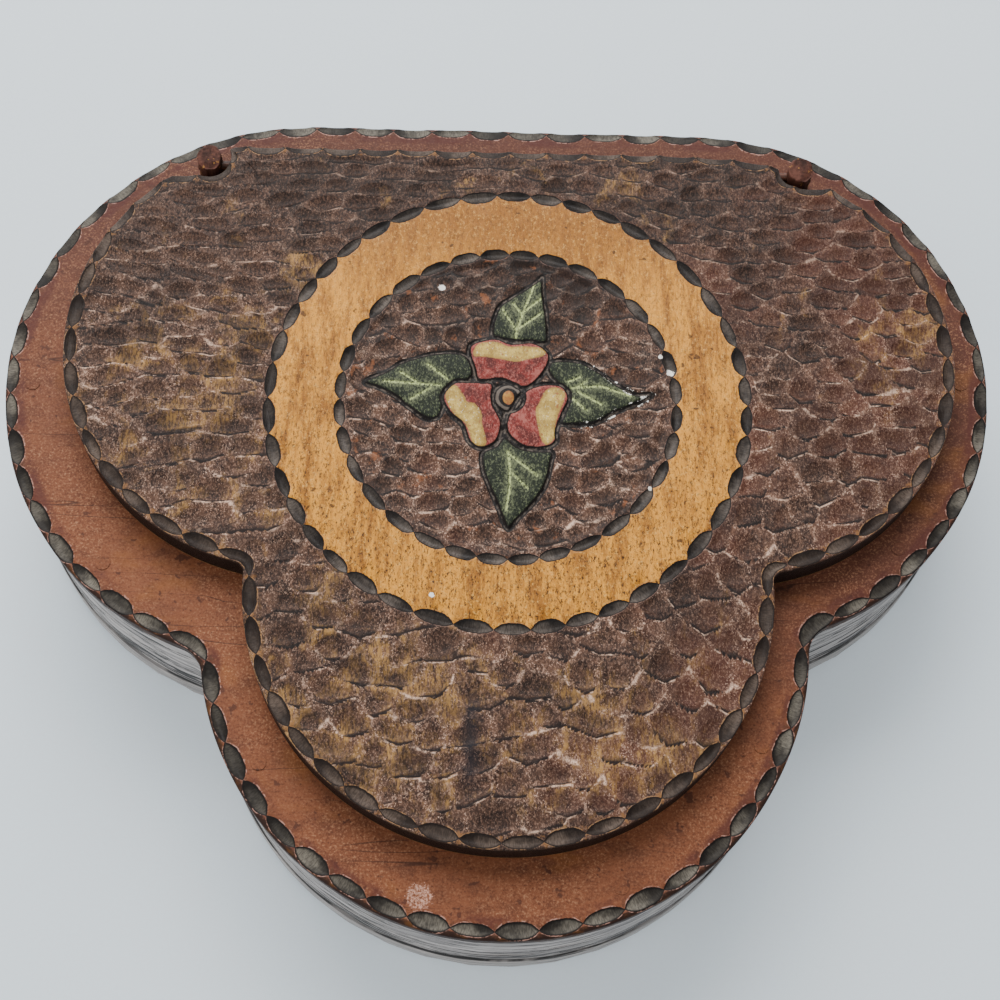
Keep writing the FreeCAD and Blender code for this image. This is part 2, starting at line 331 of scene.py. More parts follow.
@dataclass
class Skin:
    """Closed skin through a stack of rings of points.

    Neighbouring rings have as many points, or one has twice as many as the other. The stack's
    ends close in a point each, or its last ring joins its first, as on a hoop.
    """

    joined: bool = False
    rings: list[Array] = field(default_factory=list)
    traits: list[dict[str, Array]] = field(default_factory=list)

    def ring(self, plan: Array, height: Array | float, **traits: Array | float) -> None:
        """Adds a ring.

        Args:
            plan: Places, shape (n, 2).
            height: Height of each point, or of all of them.
            traits: Named values of each point, or one value for the whole ring. The trait
                inward is also the V of the UV map, whose U is the share of the way round.
        """
        column = np.broadcast_to(height, len(plan))[:, None]
        self.rings.append(np.concatenate([plan, column], axis=1))
        self.traits.append({k: np.broadcast_to(v, len(plan)) for k, v in traits.items()})

    def _between(self, first: int, second: int) -> list[Array]:
        """Faces between two rings.

        Args:
            first: Number of one ring.
            second: Number of the other.

        Returns:
            Arrays of faces, shape (n, corners, 2), with each corner's ring and column.
        """
        count_a, count_b = len(self.rings[first]), len(self.rings[second])
        if count_a < count_b:
            return [faces[:, ::-1] for faces in self._between(second, first)]

        def at(ring: int, column: Array) -> Array:
            """Corners in one ring."""
            return np.stack([np.full_like(column, ring), column], axis=-1)

        c = np.arange(count_b)
        if count_a == count_b:
            corners = [at(first, c), at(first, c + 1), at(second, c + 1), at(second, c)]
            return [np.stack(corners, axis=1)]
        near, middle, far = at(first, 2 * c), at(first, 2 * c + 1), at(first, 2 * c + 2)
        left, right = at(second, c), at(second, c + 1)
        return [
            np.stack([near, middle, left], axis=1),
            np.stack([middle, right, left], axis=1),
            np.stack([middle, far, right], axis=1),
        ]

    def _faces(self) -> list[Array]:
        """All faces: between neighbouring rings, and over the ends or from the last ring to the
        first. The middles of the two ends count as two further rings of one point.

        Returns:
            Arrays of faces, shape (n, corners, 2), with each corner's ring and column.
        """
        last = len(self.rings) - 1
        faces: list[Array] = []
        for ring in range(last):
            faces += self._between(ring, ring + 1)
        if self.joined:
            return faces + self._between(last, 0)
        for ring, pole, turn in ((0, last + 1, -1), (last, last + 2, 1)):
            c = np.arange(len(self.rings[ring]))
            corners = [np.stack([np.full_like(c, ring), c + step], axis=-1) for step in (0, 1)]
            corners.append(np.stack([np.full_like(c, pole), c * 0], axis=-1))
            faces.append(np.stack(corners, axis=1)[:, ::turn])
        return faces

    def build(self, name: str) -> bpy.types.Object:
        """Makes the object, with its faces outwards.

        Args:
            name: Name of the object.

        Returns:
            The object, which is linked to the scene.
        """
        counts = np.array([len(ring) for ring in self.rings] + [1, 1])
        starts = np.concatenate([[0], np.cumsum(counts)])[:-1]
        ends = [] if self.joined else [[ring.mean(axis=0)] for ring in (self.rings[0], self.rings[-1])]
        points = np.concatenate(self.rings + ends)
        faces = self._faces()
        indexed = [starts[f[..., 0]] + f[..., 1] % counts[f[..., 0]] for f in faces]
        if self._volume(points, indexed) < 0:
            faces = [f[:, ::-1] for f in faces]
            indexed = [f[:, ::-1] for f in indexed]

        mesh = bpy.data.meshes.new(name)
        mesh.from_pydata((points * MM).tolist(), [], [row for f in indexed for row in f.tolist()])
        mesh.polygons.foreach_set("use_smooth", np.ones(len(mesh.polygons), bool))
        for trait in self.traits[0]:
            values = np.concatenate([ring[trait] for ring in self.traits])
            values = np.concatenate([values, np.full(len(points) - len(values), values[-1])])
            mesh.attributes.new(trait, "FLOAT", "POINT").data.foreach_set("value", values)
            if trait == "inward":
                runs = [f[..., 1] / counts[f[..., 0]] for f in faces]
                maps = [np.stack([r, values[n]], axis=-1).reshape(-1, 2) for r, n in zip(runs, indexed)]
                layer = mesh.uv_layers.new(name="border")
                layer.data.foreach_set("uv", np.concatenate(maps).astype(np.float32).ravel())
        mesh.update()
        made = bpy.data.objects.new(name, mesh)
        bpy.context.scene.collection.objects.link(made)
        LOG.info("%s: %d points, %d faces", name, len(points), len(mesh.polygons))
        return made

    @staticmethod
    def _volume(points: Array, indexed: list[Array]) -> float:
        """Six times the volume: the sum over triangles of the corner product a . (b x c).

        Args:
            points: Points, shape (n, 3).
            indexed: Arrays of faces, as numbers of their points.

        Returns:
            The sum, negative where the faces point inwards.
        """
        total = 0.0
        for faces in indexed:
            for k in range(1, faces.shape[1] - 1):
                a, b, c = points[faces[:, 0]], points[faces[:, k]], points[faces[:, k + 1]]
                total += float(np.einsum("ij,ij->", a, np.cross(b, c)))
        return total


@dataclass(frozen=True)
class Nicks:
    """Row of lens-shaped gouge nicks cut end to end along a border.

    The middle of the row is a distance inside the edge, or a radius on a round border. A nick
    bulges by its half width towards growing distances, and by the width behind towards
    shrinking ones.
    """

    count: int
    middle: float
    half_width: float
    behind: float
    depth: float
    uneven: float = 0.1
    wander: float = 0.0
    bends: int = 5

    def run_at(self, angle: Array) -> Array:
        """Nicks counted along a round border, whose pitch wanders as a sine of the angle."""
        return self.count * angle / TURN + self.wander * np.sin(self.bends * angle)

    def depth_at(self, run: Array, inward: Array) -> Array:
        """Depth of the cut.

        With t from -1 to 1 along a nick its half width is w = 1 - |t|^3, and across it the
        depth is w - v^2 / w, where v is the distance from the middle line in half widths.

        Args:
            run: Nicks counted along the border.
            inward: Distance inside the edge, or radius.

        Returns:
            Depth below the uncut surface, 0 outside the nicks.
        """
        whole = np.floor(run + 1e-6)
        t = 2 * (run - whole) - 1
        w = np.maximum(1 - np.abs(t) ** 3, 0.02)
        away = inward - self.middle
        half = np.where(away > 0, self.half_width, self.behind)
        v = away / (half * (1 + self.uneven * np.sin(2.4 * whole)))
        return self.depth * np.maximum(0, w - v**2 / w)


@dataclass(frozen=True)
class GougeMarks:
    """Shallow scoops side by side in uneven rows, as a small gouge leaves a carved ground.

    Length and row are their spacings along and across the rows, steep the run of a scoop's
    front side in rows, turn the most that a scoop is turned, and shorter and denser how much
    they shorten to the right and crowd to the back.
    """

    length: float
    row: float
    depth: float
    steep: float
    seed: int
    turn: float = 0.22
    extent: float = 105.0
    shorter: float = 0.0
    denser: float = 0.0
    batch: int = 1500

    def _cuts(self) -> dict[str, Array]:
        """Scoops of a square ground of twice the extent, about the origin. They get shorter to
        the right by the share shorter.

        Returns:
            Places, kinds, half lengths, turns, lifts and tones, one value for each scoop. No two
            neighbours are of one kind.
        """
        rng = np.random.default_rng(self.seed)
        rows = np.arange(-self.extent, self.extent, self.row)
        x, y = np.meshgrid(np.arange(-self.extent, self.extent, self.length), rows)
        x = x + self.length * (0.5 * (np.arange(len(rows)) % 2)[:, None])
        x = (x + self.length * rng.uniform(-0.34, 0.34, x.shape)).ravel()
        y = (y + self.row * rng.uniform(-0.3, 0.3, y.shape)).ravel()
        # rows wave as they are cut by eye
        y = y + 0.9 * np.sin(x / 11) + 0.7 * np.sin(x / 5.3 + y / 9)
        row_kind, column_kind = np.indices((len(rows), len(x) // len(rows))) % 2
        return {
            "x": x,
            "y": y,
            "kind": (2 * row_kind + column_kind).ravel(),
            "half": self.length * rng.uniform(0.5, 0.95, len(x)) * (1 - self.shorter * np.tanh(x / 40)),
            "turn": self.turn * rng.uniform(-1, 1, len(x)) + 0.18 * np.sin(x / 17 + y / 13),
            "lift": self.depth * rng.uniform(0, 0.35, len(x)),
            "tone": rng.uniform(0, 1, len(x)),
        }

    def relief(self, x: Array, y: Array) -> dict[str, Array]:
        """Ground left by the scoops: the lowest of all the cut surfaces at each point.

        A scoop's surface is lift + depth * ((s / half)^2 + (t / run)^2), with s and t along and
        across it, and run short on the side where the tool came out and long on the other. The
        rows lie closer to each other at the back by the share denser, and wider in front.

        Args:
            x: Places.
            y: Places.

        Returns:
            The lowest surface of each kind of scoop, whose lowest is the ground, and the scoop
            that the point lies in as its tone and how near the point is to its toe, in front.
        """
        cuts = self._cuts()
        y = y * (1 + self.denser * np.tanh(y / 30))
        cos, sin = np.cos(cuts["turn"]), np.sin(cuts["turn"])
        kinds, (tone, toe) = np.empty((len(SCOOP_KINDS), len(x))), np.empty((2, len(x)))
        order = np.argsort(y)
        # each batch of points is compared with the few rows near it
        for part in np.array_split(order, max(1, len(x) // self.batch)):
            low, high = y[part].min() - 3 * self.row, y[part].max() + 3 * self.row
            near = (cuts["y"] > low) & (cuts["y"] < high)
            dx = x[part, None] - cuts["x"][near]
            dy = y[part, None] - cuts["y"][near]
            s = dx * cos[near] + dy * sin[near]
            t = dy * cos[near] - dx * sin[near]
            run = np.where(t < 0, self.row * self.steep, self.row * 1.05)
            surface = cuts["lift"][near] + self.depth * ((s / cuts["half"][near]) ** 2 + (t / run) ** 2)
            for kind, lowest_of_kind in enumerate(kinds):
                lowest_of_kind[part] = surface[:, cuts["kind"][near] == kind].min(axis=1)
            lowest = surface.argmin(axis=1)
            tone[part] = cuts["tone"][near][lowest]
            toe[part] = np.clip(-(t / run)[np.arange(len(part)), lowest], 0, 1)
        return dict(zip(SCOOP_KINDS, kinds)) | {"tone": tone, "toe": toe}


# ---- Finishes ----


def linear(colour: str) -> tuple[float, float, float, float]:
    """Turns an sRGB colour to linear: c / 12.92, or ((c + 0.055) / 1.055)^2.4 above 0.04045.

    Args:
        colour: Hex colour.

    Returns:
        Its linear values, with full opacity.
    """
    parts = [int(colour[i:i + 2], 16) / 255 for i in (1, 3, 5)]
    red, green, blue = (p / 12.92 if p <= 0.04045 else ((p + 0.055) / 1.055) ** 2.4 for p in parts)
    return red, green, blue, 1.0


@dataclass
class Tree:
    """Node tree of a material that is being drawn."""

    nodes: Any
    links: Any

    def add(self, kind: str, *sockets: Any, output: int | str = 0, **settings: Any) -> Any:
        """Adds a node with its settings and links.

        Args:
            kind: Node type without its ShaderNode prefix.
            sockets: Values or sockets for the inputs in order, or one dict of them by name. A
                colour may be a hex string, and None leaves an input alone.
            output: Output that is wanted.
            settings: Attributes of the node, over the usual ones of its kind.

        Returns:
            The wanted output.
        """
        node = self.nodes.new("ShaderNode" + kind)
        for key, value in (USUAL_SETTINGS.get(kind, {}) | settings).items():
            setattr(node, key, value)
        named = sockets[0] if sockets and isinstance(sockets[0], dict) else dict(enumerate(sockets))
        for key, value in named.items():
            if isinstance(value, bpy.types.NodeSocket):
                self.links.new(value, node.inputs[key])
            elif value is not None:
                node.inputs[key].default_value = linear(value) if isinstance(value, str) else value
        return node.outputs[output] if node.outputs else None

    def place(self, x: float = 1, y: float = 1, z: float = 1) -> Any:
        """Object coordinates in mm, each axis multiplied by its stretch."""
        where = self.add("TexCoord", output="Object")
        return self.add("VectorMath", where, (x / MM, y / MM, z / MM), operation="MULTIPLY")

    def along(self, axis: str) -> Any:
        """Object coordinate along one axis, in mm."""
        return self.add("SeparateXYZ", self.place(), output="xyz".index(axis))

    def grain(self, stretch: Spot, detail: float = 3, rough: float = 0.55, twist: float = 0) -> Any:
        """Noise over the piece, about 0.5 on average.

        Args:
            stretch: Its features to a millimetre along each axis.
            detail: Octaves of finer noise in it.
            rough: Weight of each finer octave.
            twist: How far its places are pushed about.

        Returns:
            The noise.
        """
        sockets = {"Vector": self.place(*stretch), "Scale": 1.0, "Detail": detail, "Roughness": rough}
        return self.add("TexNoise", sockets | {"Distortion": twist})

    def wave(self, value: Any, pace: float) -> Any:
        """Sine of a value times a pace."""
        return self.add("Math", self.add("Math", value, pace), operation="SINE")

    def overlap(self, *masks: Any) -> Any:
        """Product of masks.

        Args:
            masks: Each a socket, or a tuple for a smooth step: a value, where the step starts
                and ends, and the masks there if they aren't 0 and 1.

        Returns:
            The product.
        """
        shares = [self.add("MapRange", *mask) if isinstance(mask, tuple) else mask for mask in masks]
        product = shares[0]
        for share in shares[1:]:
            product = self.add("Math", product, share)
        return product

    def coat(self, under: Any, *layers: tuple[Any, ...]) -> Any:
        """Lays colours over a first one.

        Args:
            under: First colour. A plain number stands for a grey, as in the layers.
            layers: Each further colour with its masks, as in overlap.

        Returns:
            The colour that shows.
        """
        for over, *masks in layers:
            pair = [(c, c, c, 1.0) if isinstance(c, float) else c for c in (under, over)]
            under = self.add("MixRGB", self.overlap(*masks), *pair)
        return under

    def round_run(self, row: Nicks) -> tuple[Any, Any]:
        """Runs of nicks on a circular border, as Nicks.run_at counts them.

        Args:
            row: The nicks.

        Returns:
            Nicks counted round the border, and the distance from its middle in mm.
        """
        angle = self.add("Math", self.along("y"), self.along("x"), operation="ARCTAN2")
        run = self.add("Math", self.wave(angle, row.bends), row.wander)
        run = self.add("Math", angle, row.count / TURN, run, operation="MULTIPLY_ADD")
        return run, self.add("VectorMath", self.place(1, 1, 0), operation="LENGTH", output="Value")

    def edge_run(self, row: Nicks) -> tuple[Any, Any]:
        """Runs of nicks on the edge of a board, from its UV map.

        Args:
            row: The nicks.

        Returns:
            Nicks counted along the edge, and the distance inside the edge in mm.
        """
        border = self.add("UVMap", uv_map="border")
        share, inward = (self.add("SeparateXYZ", border, output=i) for i in (0, 1))
        return self.add("Math", share, row.count), inward

    def spot(self, x: float, y: float, size: float) -> tuple[Any, float, float]:
        """Mask of a ragged round spot on an upward face.

        Args:
            x: Its middle, in mm.
            y: Its middle, in mm.
            size: Its radius, in mm.

        Returns:
            The mask as a smooth step for overlap.
        """
        away = self.add("VectorMath", self.place(1, 1, 0), (-x, -y, 0.0), operation="ADD")
        away = self.add("VectorMath", away, operation="LENGTH", output="Value")
        ragged = self.grain((1.7, 1.7, 1.7), 3, 0.75)
        away = self.add("Math", ragged, 1.6 * size, away, operation="MULTIPLY_ADD")
        return away, 1.9 * size, 1.7 * size

    def surface(self, colour: Any, rough: Any, height: Any, relief: float, **more: Any) -> None:
        """Shader with a bump, joined to the material's output.

        Args:
            colour: Base colour.
            rough: Roughness.
            height: Value that raises the bump.
            relief: Height of the bump for a value of 1, in mm.
            more: Further shader inputs by name, with underscores for spaces.
        """
        bump = self.add("Bump", {"Strength": 1.0, "Distance": relief * MM, "Height": height})
        sockets = {"Base Color": colour, "Roughness": rough, "Normal": bump}
        sockets |= {key.replace("_", " "): value for key, value in more.items()}
        self.add("OutputMaterial", self.add("BsdfPrincipled", sockets))


@dataclass(frozen=True)
class Finish:
    """Finish of one of the box's surfaces, which becomes one material."""

    name: str

    def paint(self, tree: Tree) -> None:
        """Draws the finish into a node tree."""
        raise NotImplementedError

    def material(self) -> bpy.types.Material:
        """Makes the material, or finds it where it is made.

        Returns:
            The material, named for the finish.
        """
        made = bpy.data.materials.get(self.name)
        if made is None:
            made = bpy.data.materials.new(self.name)
            made.use_nodes = True
            made.node_tree.nodes.clear()
            self.paint(Tree(made.node_tree.nodes, made.node_tree.links))
        return made


@dataclass(frozen=True)
class NickPaint:
    """Colours of a row of nicks: stained dark at the rim of each cut, grey where it is worn, highlight
    painted on its lip.
    """

    row: Nicks
    edge: str = "#120d0b"
    floor: str = "#5f594b"
    lip_highlight: str = "#b98c7c"
    lip_share: float = 0.7
    chip: str = "#80562f"

    def _floor(self, tree: Tree, run: Any, inward: Any, t: Any, inside: Any) -> Any:
        """Colour inside the nicks.

        Args:
            tree: Tree to draw into.
            run: Nicks counted along the border.
            inward: Distance inside the edge, or radius, in mm.
            t: Place along the nick, from -1 to 1.
            inside: How far inside the nick's outline a point is.

        Returns:
            Stain, worn grey away from the outline and more on one half of the nick.
        """
        whole = tree.add("Math", run, operation="FLOOR")
        # marks of the blade across each nick, a few to a millimetre
        across = tree.add("CombineXYZ", tree.add("Math", run, 34.0), inward, 0.0)
        marks = tree.add("TexNoise", across, None, 1, 3, 0.7)
        one = tree.add("CombineXYZ", whole, 0.5, 0.5)
        tone = tree.add("TexNoise", one, None, 1, 0, 0.55)
        bladed = tree.overlap((marks, 0.34, 0.66, 0.4, 1.0), (tone, 0.36, 0.62, 0.35, 1.15))
        worn = tree.overlap((inside, 0.1, 0.42), bladed)
        tilt = tree.add("Math", t, tree.wave(whole, 1.7))
        fading = tree.add("Math", tree.grain((0.6, 0.6, 0.6)), 1.6, tilt, operation="MULTIPLY_ADD")
        fading = tree.add("MapRange", fading, 1.4, 0.3, 0.12, 1)
        return tree.coat(self.edge, (self.floor, tree.add("Math", worn, fading, use_clamp=True)))

    def over(self, tree: Tree, run: Any, inward: Any, under: Any) -> Any:
        """Draws the nicks over a colour.

        The lens is where 1 - |t|^3 - |v| is above 0, with t from -1 to 1 along the nick and v the
        distance from the row's middle in half widths.

        Args:
            tree: Tree to draw into.
            run: Nicks counted along the border.
            inward: Distance inside the edge, or radius, in mm.
            under: Colour of the uncut wood.

        Returns:
            The colour with the nicks.
        """
        row = self.row
        whole = tree.add("Math", run, operation="FLOOR")
        t = tree.add("Math", run, whole, operation="SUBTRACT")
        t = tree.add("Math", t, 2.0, -1.0, operation="MULTIPLY_ADD")
        length = tree.add("Math", t, operation="ABSOLUTE")
        cubed = tree.add("Math", length, 3.0, operation="POWER")
        width = tree.add("Math", 1.0, cubed, operation="SUBTRACT")
        uneven = tree.add("Math", tree.wave(whole, 2.4), row.uneven, 1.0, operation="MULTIPLY_ADD")
        away = tree.add("Math", inward, row.middle, operation="SUBTRACT")
        sides = [tree.add("Math", away, 1 / reach) for reach in (row.half_width, -row.behind)]
        v = tree.add("Math", *sides, operation="MAXIMUM")
        v = tree.add("Math", v, uneven, operation="DIVIDE")
        inside = tree.add("Math", width, v, operation="SUBTRACT")
        inside = tree.add("Math", inside, 0.04, operation="SUBTRACT")
        ragged = tree.grain((1.6, 1.6, 1.6), 2)
        inside = tree.add("Math", ragged, 0.22, inside, operation="MULTIPLY_ADD")
        patchy = tree.grain((0.9, 0.9, 0.9), 4, 0.7)
        patchy = tree.add("MapRange", patchy, 0.46, 0.58, 0, self.lip_share)
        return tree.coat(
            under,
            # painted highlight along the lip outside each cut
            (self.lip_highlight, (inside, -0.2, -0.05), patchy),
            # chipped wood where two nicks meet
            (self.chip, (length, 0.8, 0.95), patchy, (v, 1.1, 0.7)),
            (self._floor(tree, run, inward, t, inside), (inside, -0.03, 0.04)),
        )


@dataclass(frozen=True)
class GougedGround:
    """Ground left by a small gouge: stain lies dark in the scoops, the ridges are rubbed pale and carry
    painted highlight with pink painted glints in front, painted shade lies under the toe of each scoop,
    and bare wood shows golden where hands have worn it."""

    drop: float
    worn_from: float
    crest_back: float
    band_low: float
    crest_share: float = 0.75
    dark: str = "#170d0a"
    brown: str = "#402c22"
    fibre: str = "#8a6b59"
    rubbed: str = "#644636"
    glint_pink: str = "#c4a18c"
    bare: str = "#956f3e"
    ridge: str = "#c2a08a"
    red: str = "#56291a"

    def _ridges(self, tree: Tree) -> tuple[Any, Any, Any]:
        """Finds the ridges, where two kinds of scoop are equally low.

        Args:
            tree: Tree to draw into.

        Returns:
            Lowest surface of the scoops, how far the next lowest kind lies above it, and how far
            odd and even rows are apart, in mm. The gaps close at a ridge.
        """
        ends = ("MINIMUM", "MAXIMUM")
        a, b, c, d = (tree.add("Attribute", output="Fac", attribute_name=kind) for kind in SCOOP_KINDS)
        low, high = (tree.add("Math", a, b, operation=end) for end in ends)
        other_low, other_high = (tree.add("Math", c, d, operation=end) for end in ends)
        lowest, next_low = (tree.add("Math", low, other_low, operation=end) for end in ends)
        next_high = tree.add("Math", high, other_high, operation="MINIMUM")
        next_low = tree.add("Math", next_low, next_high, operation="MINIMUM")
        row_gap = tree.add("Math", low, other_low, operation="SUBTRACT")
        gap = tree.add("Math", next_low, lowest, operation="SUBTRACT")
        return lowest, gap, tree.add("Math", row_gap, operation="ABSOLUTE")

    def colour(self, tree: Tree, worn: Any) -> tuple[Any, Any]:
        """Draws the ground.

        Args:
            tree: Tree to draw into.
            worn: Wear, which adds to the noise that decides where the wood is bare.

        Returns:
            Its colour, and what the mesh leaves out of its height, in mm.
        """
        lowest, gap, row_gap = self._ridges(tree)
        toe, uncovered, tone, level = (
            tree.add("Attribute", output="Fac", attribute_name=name)
            for name in ("toe", "open", "tone", "level")
        )
        fibres = tree.grain((2.4, 1.5, 1.0), 4, 0.72, 0.6)
        specks = tree.grain((3.8, 2.8, 1.0), 2, 0.8)
        slowly = tree.add("SeparateXYZ", tree.place(0.003, 1, 1))
        stain = tree.add("Math", tree.grain((0.05, 0.035, 0.05), 4, 0.6), slowly, operation="ADD")
        frontward = tree.add("MapRange", tree.along("y"), 45, -5, self.crest_back, 1)
        band = tree.overlap((gap, 1.1, 0.2, self.band_low, 1), frontward)
        hollow = tree.grain((0.5, 0.5, 1.0), 3, 0.6)
        colour = tree.coat(
            self.dark,
            (self.brown, (fibres, 0.4, 0.6)),
            (self.red, (stain, 0.5, 0.75, 0, 0.4)),
            # paler rubbed wood and fibres in a band by the ridges, mostly in front: wear and painted
            # highlight together
            (self.rubbed, band, (hollow, 0.4, 0.62, 0.1, 0.6)),
            (self.fibre, (fibres, 0.53, 0.66), band),
            # pink specks by the ridges, mostly in front, are painted glints of wax
            (self.glint_pink, (specks, 0.56, 0.7, 0, 0.75), band),
            (self.dark, (specks, 0.42, 0.32, 0, 0.65)),
        )
        # bare wood in soft patches that are drawn out along the grain, then shade under the toes
        patches = tree.grain((0.17, 0.1, 1.0), 5, 0.66, 0.4)
        patches = tree.add("Math", patches, worn, operation="ADD")
        patches = (patches, self.worn_from, self.worn_from + 0.16, 0, 0.9)
        combed = tree.grain((2.4, 0.6, 1.0), 3, 0.75)
        broken = tree.grain((0.3, 0.45, 1.0), 5, 0.75)
        broken = tree.overlap((broken, 0.49, 0.62, 0, self.crest_share), (specks, 0.36, 0.5, 0.2, 1))
        broken = tree.add("Math", broken, frontward)
        near_row = tree.add("MapRange", row_gap, 0.34, 0.04)
        near = tree.add("MapRange", gap, 0.26, 0.04, 0, 0.35)
        crest = tree.add("Math", near_row, near, operation="ADD")
        crest = tree.add("Math", crest, broken, use_clamp=True)
        colour = tree.coat(
            colour,
            (self.bare, patches, (gap, 1.3, 0.5, 0.4, 1), (combed, 0.38, 0.62, 0.05, 1)),
            # painted shade on the toe side of each scoop, beside its ridges
            (self.dark, (gap, 1.5, 0.4, 0.15, 0.85), (toe, 0.2, 0.7)),
            (self.dark, (row_gap, 0.9, 0.3, 0, 0.95), (toe, 0.3, 0.5), uncovered),
            # pale crest lines on the ridges: rubbed wood and painted highlight
            (self.ridge, crest, uncovered),
        )
        tone = tree.add("MapRange", tone, 0, 1, 0.72, 1.25)
        colour = tree.add("MixRGB", 1.0, colour, tone, blend_type="MULTIPLY")
        sharp = tree.add("Math", lowest, self.drop, operation="MINIMUM")
        sharp = tree.add("Math", sharp, level, operation="SUBTRACT")
        return colour, tree.add("Math", sharp, uncovered)


@dataclass(frozen=True)
class RingWood:
    """Smooth band that was left uncut: golden waxed birch with brown pores, more of them in
    front."""

    honey: str = "#cd8a2e"
    amber: str = "#8b5619"
    pore: str = "#3b210b"
    worn: str = "#dca758"

    def over(self, tree: Tree, radius: Any, inner: float, outer: float, under: Any) -> tuple[Any, Any]:
        """Draws the band over a colour.

        Args:
            tree: Tree to draw into.
            radius: Distance from the middle of the band, in mm.
            inner: Radius that it starts at.
            outer: Radius that it ends at.
            under: Colour of the rest.

        Returns:
            The colour with the band, and the band's mask.
        """
        y = tree.along("y")
        broad = tree.grain((0.5, 0.09, 1.0), 5, 0.7)
        pores = tree.grain((2.9, 1.2, 1.0), 3, 0.8, 0.3)
        dust = tree.grain((1.9, 1.5, 1.0), 4, 0.8)
        dots = tree.grain((0.45, 0.45, 1.0), 2, 0.5)
        colour = tree.coat(
            self.amber,
            (self.honey, (broad, 0.34, 0.6)),
            # painted shade darkens the back of the ring
            (self.amber, (y, 20, 38, 0, 0.9)),
            (self.pore, (pores, 0.49, 0.64), (y, 35, -30, 0.5, 1)),
            (self.worn, (dust, 0.52, 0.68, 0, 0.6)),
            (self.pore, (dust, 0.44, 0.32, 0, 0.4)),
            (self.pore, (dots, 0.7, 0.74, 0, 0.8)),
        )
        mask = tree.overlap((radius, inner - 0.1, inner + 0.1), (radius, outer + 0.1, outer - 0.1))
        return tree.coat(under, (colour, mask)), mask


@dataclass(frozen=True)
class CarvedWood(Finish):
    """Stained and waxed birch with a row of nicks beside its ring. The bump is the height of its
    grain in mm, and dull its roughness away from the ring."""

    row: Nicks
    ground: GougedGround
    bump: float = 0.16
    dull: float = 0.62
    ring_rough: float = 0.36

    def nicked(self, tree: Tree, inner: float, outer: float, colour: Any) -> tuple[Any, Any]:
        """Draws the ring and the nicks at its border over a colour.

        Args:
            tree: Tree to draw into.
            inner: Radius that the ring starts at.
            outer: Radius that it ends at.
            colour: Colour of the rest.

        Returns:
            The colour, and the ring's mask.
        """
        run, radius = tree.round_run(self.row)
        colour, on_ring = RingWood().over(tree, radius, inner, outer, colour)
        paint = NickPaint(self.row, floor="#5f554d", lip_share=0.2, chip="#3a2619")
        return paint.over(tree, run, radius, colour), on_ring

    def waxed(self, tree: Tree, colour: Any, grain: Any, sharp: Any, on_ring: Any) -> None:
        """Finishes the wood with a low waxy sheen, more even on the ring.

        Args:
            tree: Tree to draw into.
            colour: Base colour.
            grain: Noise of the wood's fibres.
            sharp: What the mesh leaves out of the ground's height, in mm.
            on_ring: The ring's mask.
        """
        relief = tree.add("Math", sharp, 1 / self.bump, grain, operation="MULTIPLY_ADD")
        rough = tree.add("MapRange", grain, 0.3, 0.7, self.dull, self.dull - 0.2)
        rough = tree.coat(rough, (self.ring_rough, on_ring))
        tree.surface(colour, rough, relief, self.bump, Specular_IOR_Level=0.16)


@dataclass(frozen=True)
class LidWood(CarvedWood):
    """Birch board, stained umber and waxed, gouged round a ring that was left smooth. It reads
    as dark, fibrous and uneven, with bare golden wood where hands have worn it."""

    edge_row: Nicks = field(kw_only=True)
    soot: str = "#17161c"
    sapwood: str = "#a87f4e"
    heartwood: str = "#865a31"
    chalk: str = "#e9e4dc"
    chalk_spots: tuple[Spot, ...] = ((-13.0, -36.9, 0.45), (29.7, 9.2, 0.3))

    def paint(self, tree: Tree) -> None:
        """Draws the ground, the ring, and the nicks of both borders.

        Args:
            tree: Tree to draw into.
        """
        worn, soot = (
            tree.add("Attribute", output="Fac", attribute_name=name) for name in ("worn", "soot")
        )
        ground, sharp = self.ground.colour(tree, tree.add("Math", worn, 0.17))
        ground = tree.coat(ground, (self.soot, soot, 0.8))
        colour, on_ring = self.nicked(tree, 0.0, self.row.middle, ground)
        # painted shade darkens the sides of the board below its top, and its underside is left bare
        z = tree.along("z")
        lengthwise = tree.grain((2.2, 0.2, 1.0), 4, 0.6)
        under = tree.coat(self.sapwood, (self.heartwood, (lengthwise, 0.36, 0.66)))
        colour = tree.coat(
            colour,
            (self.ground.dark, (z, LID_TOP - 0.4, LID_TOP - 1, 0, 0.85)),
            (under, (z, RIM_TOP + 0.4, RIM_TOP + 0.1)),
        )
        run, inward = tree.edge_run(self.edge_row)
        nicks = NickPaint(self.edge_row, edge="#1a110d", floor="#5a4c42", lip_highlight="#a0774f")
        colour = nicks.over(tree, run, inward, colour)
        upper = tree.add("MapRange", z, LID_TOP - 2, LID_TOP - 1.5)
        for spot in self.chalk_spots:
            colour = tree.coat(colour, (self.chalk, tree.spot(*spot), upper))
        grain = tree.grain((4.0, 0.6, 4.0), 4, 0.7)
        self.waxed(tree, colour, grain, sharp, tree.add("Math", on_ring, upper))


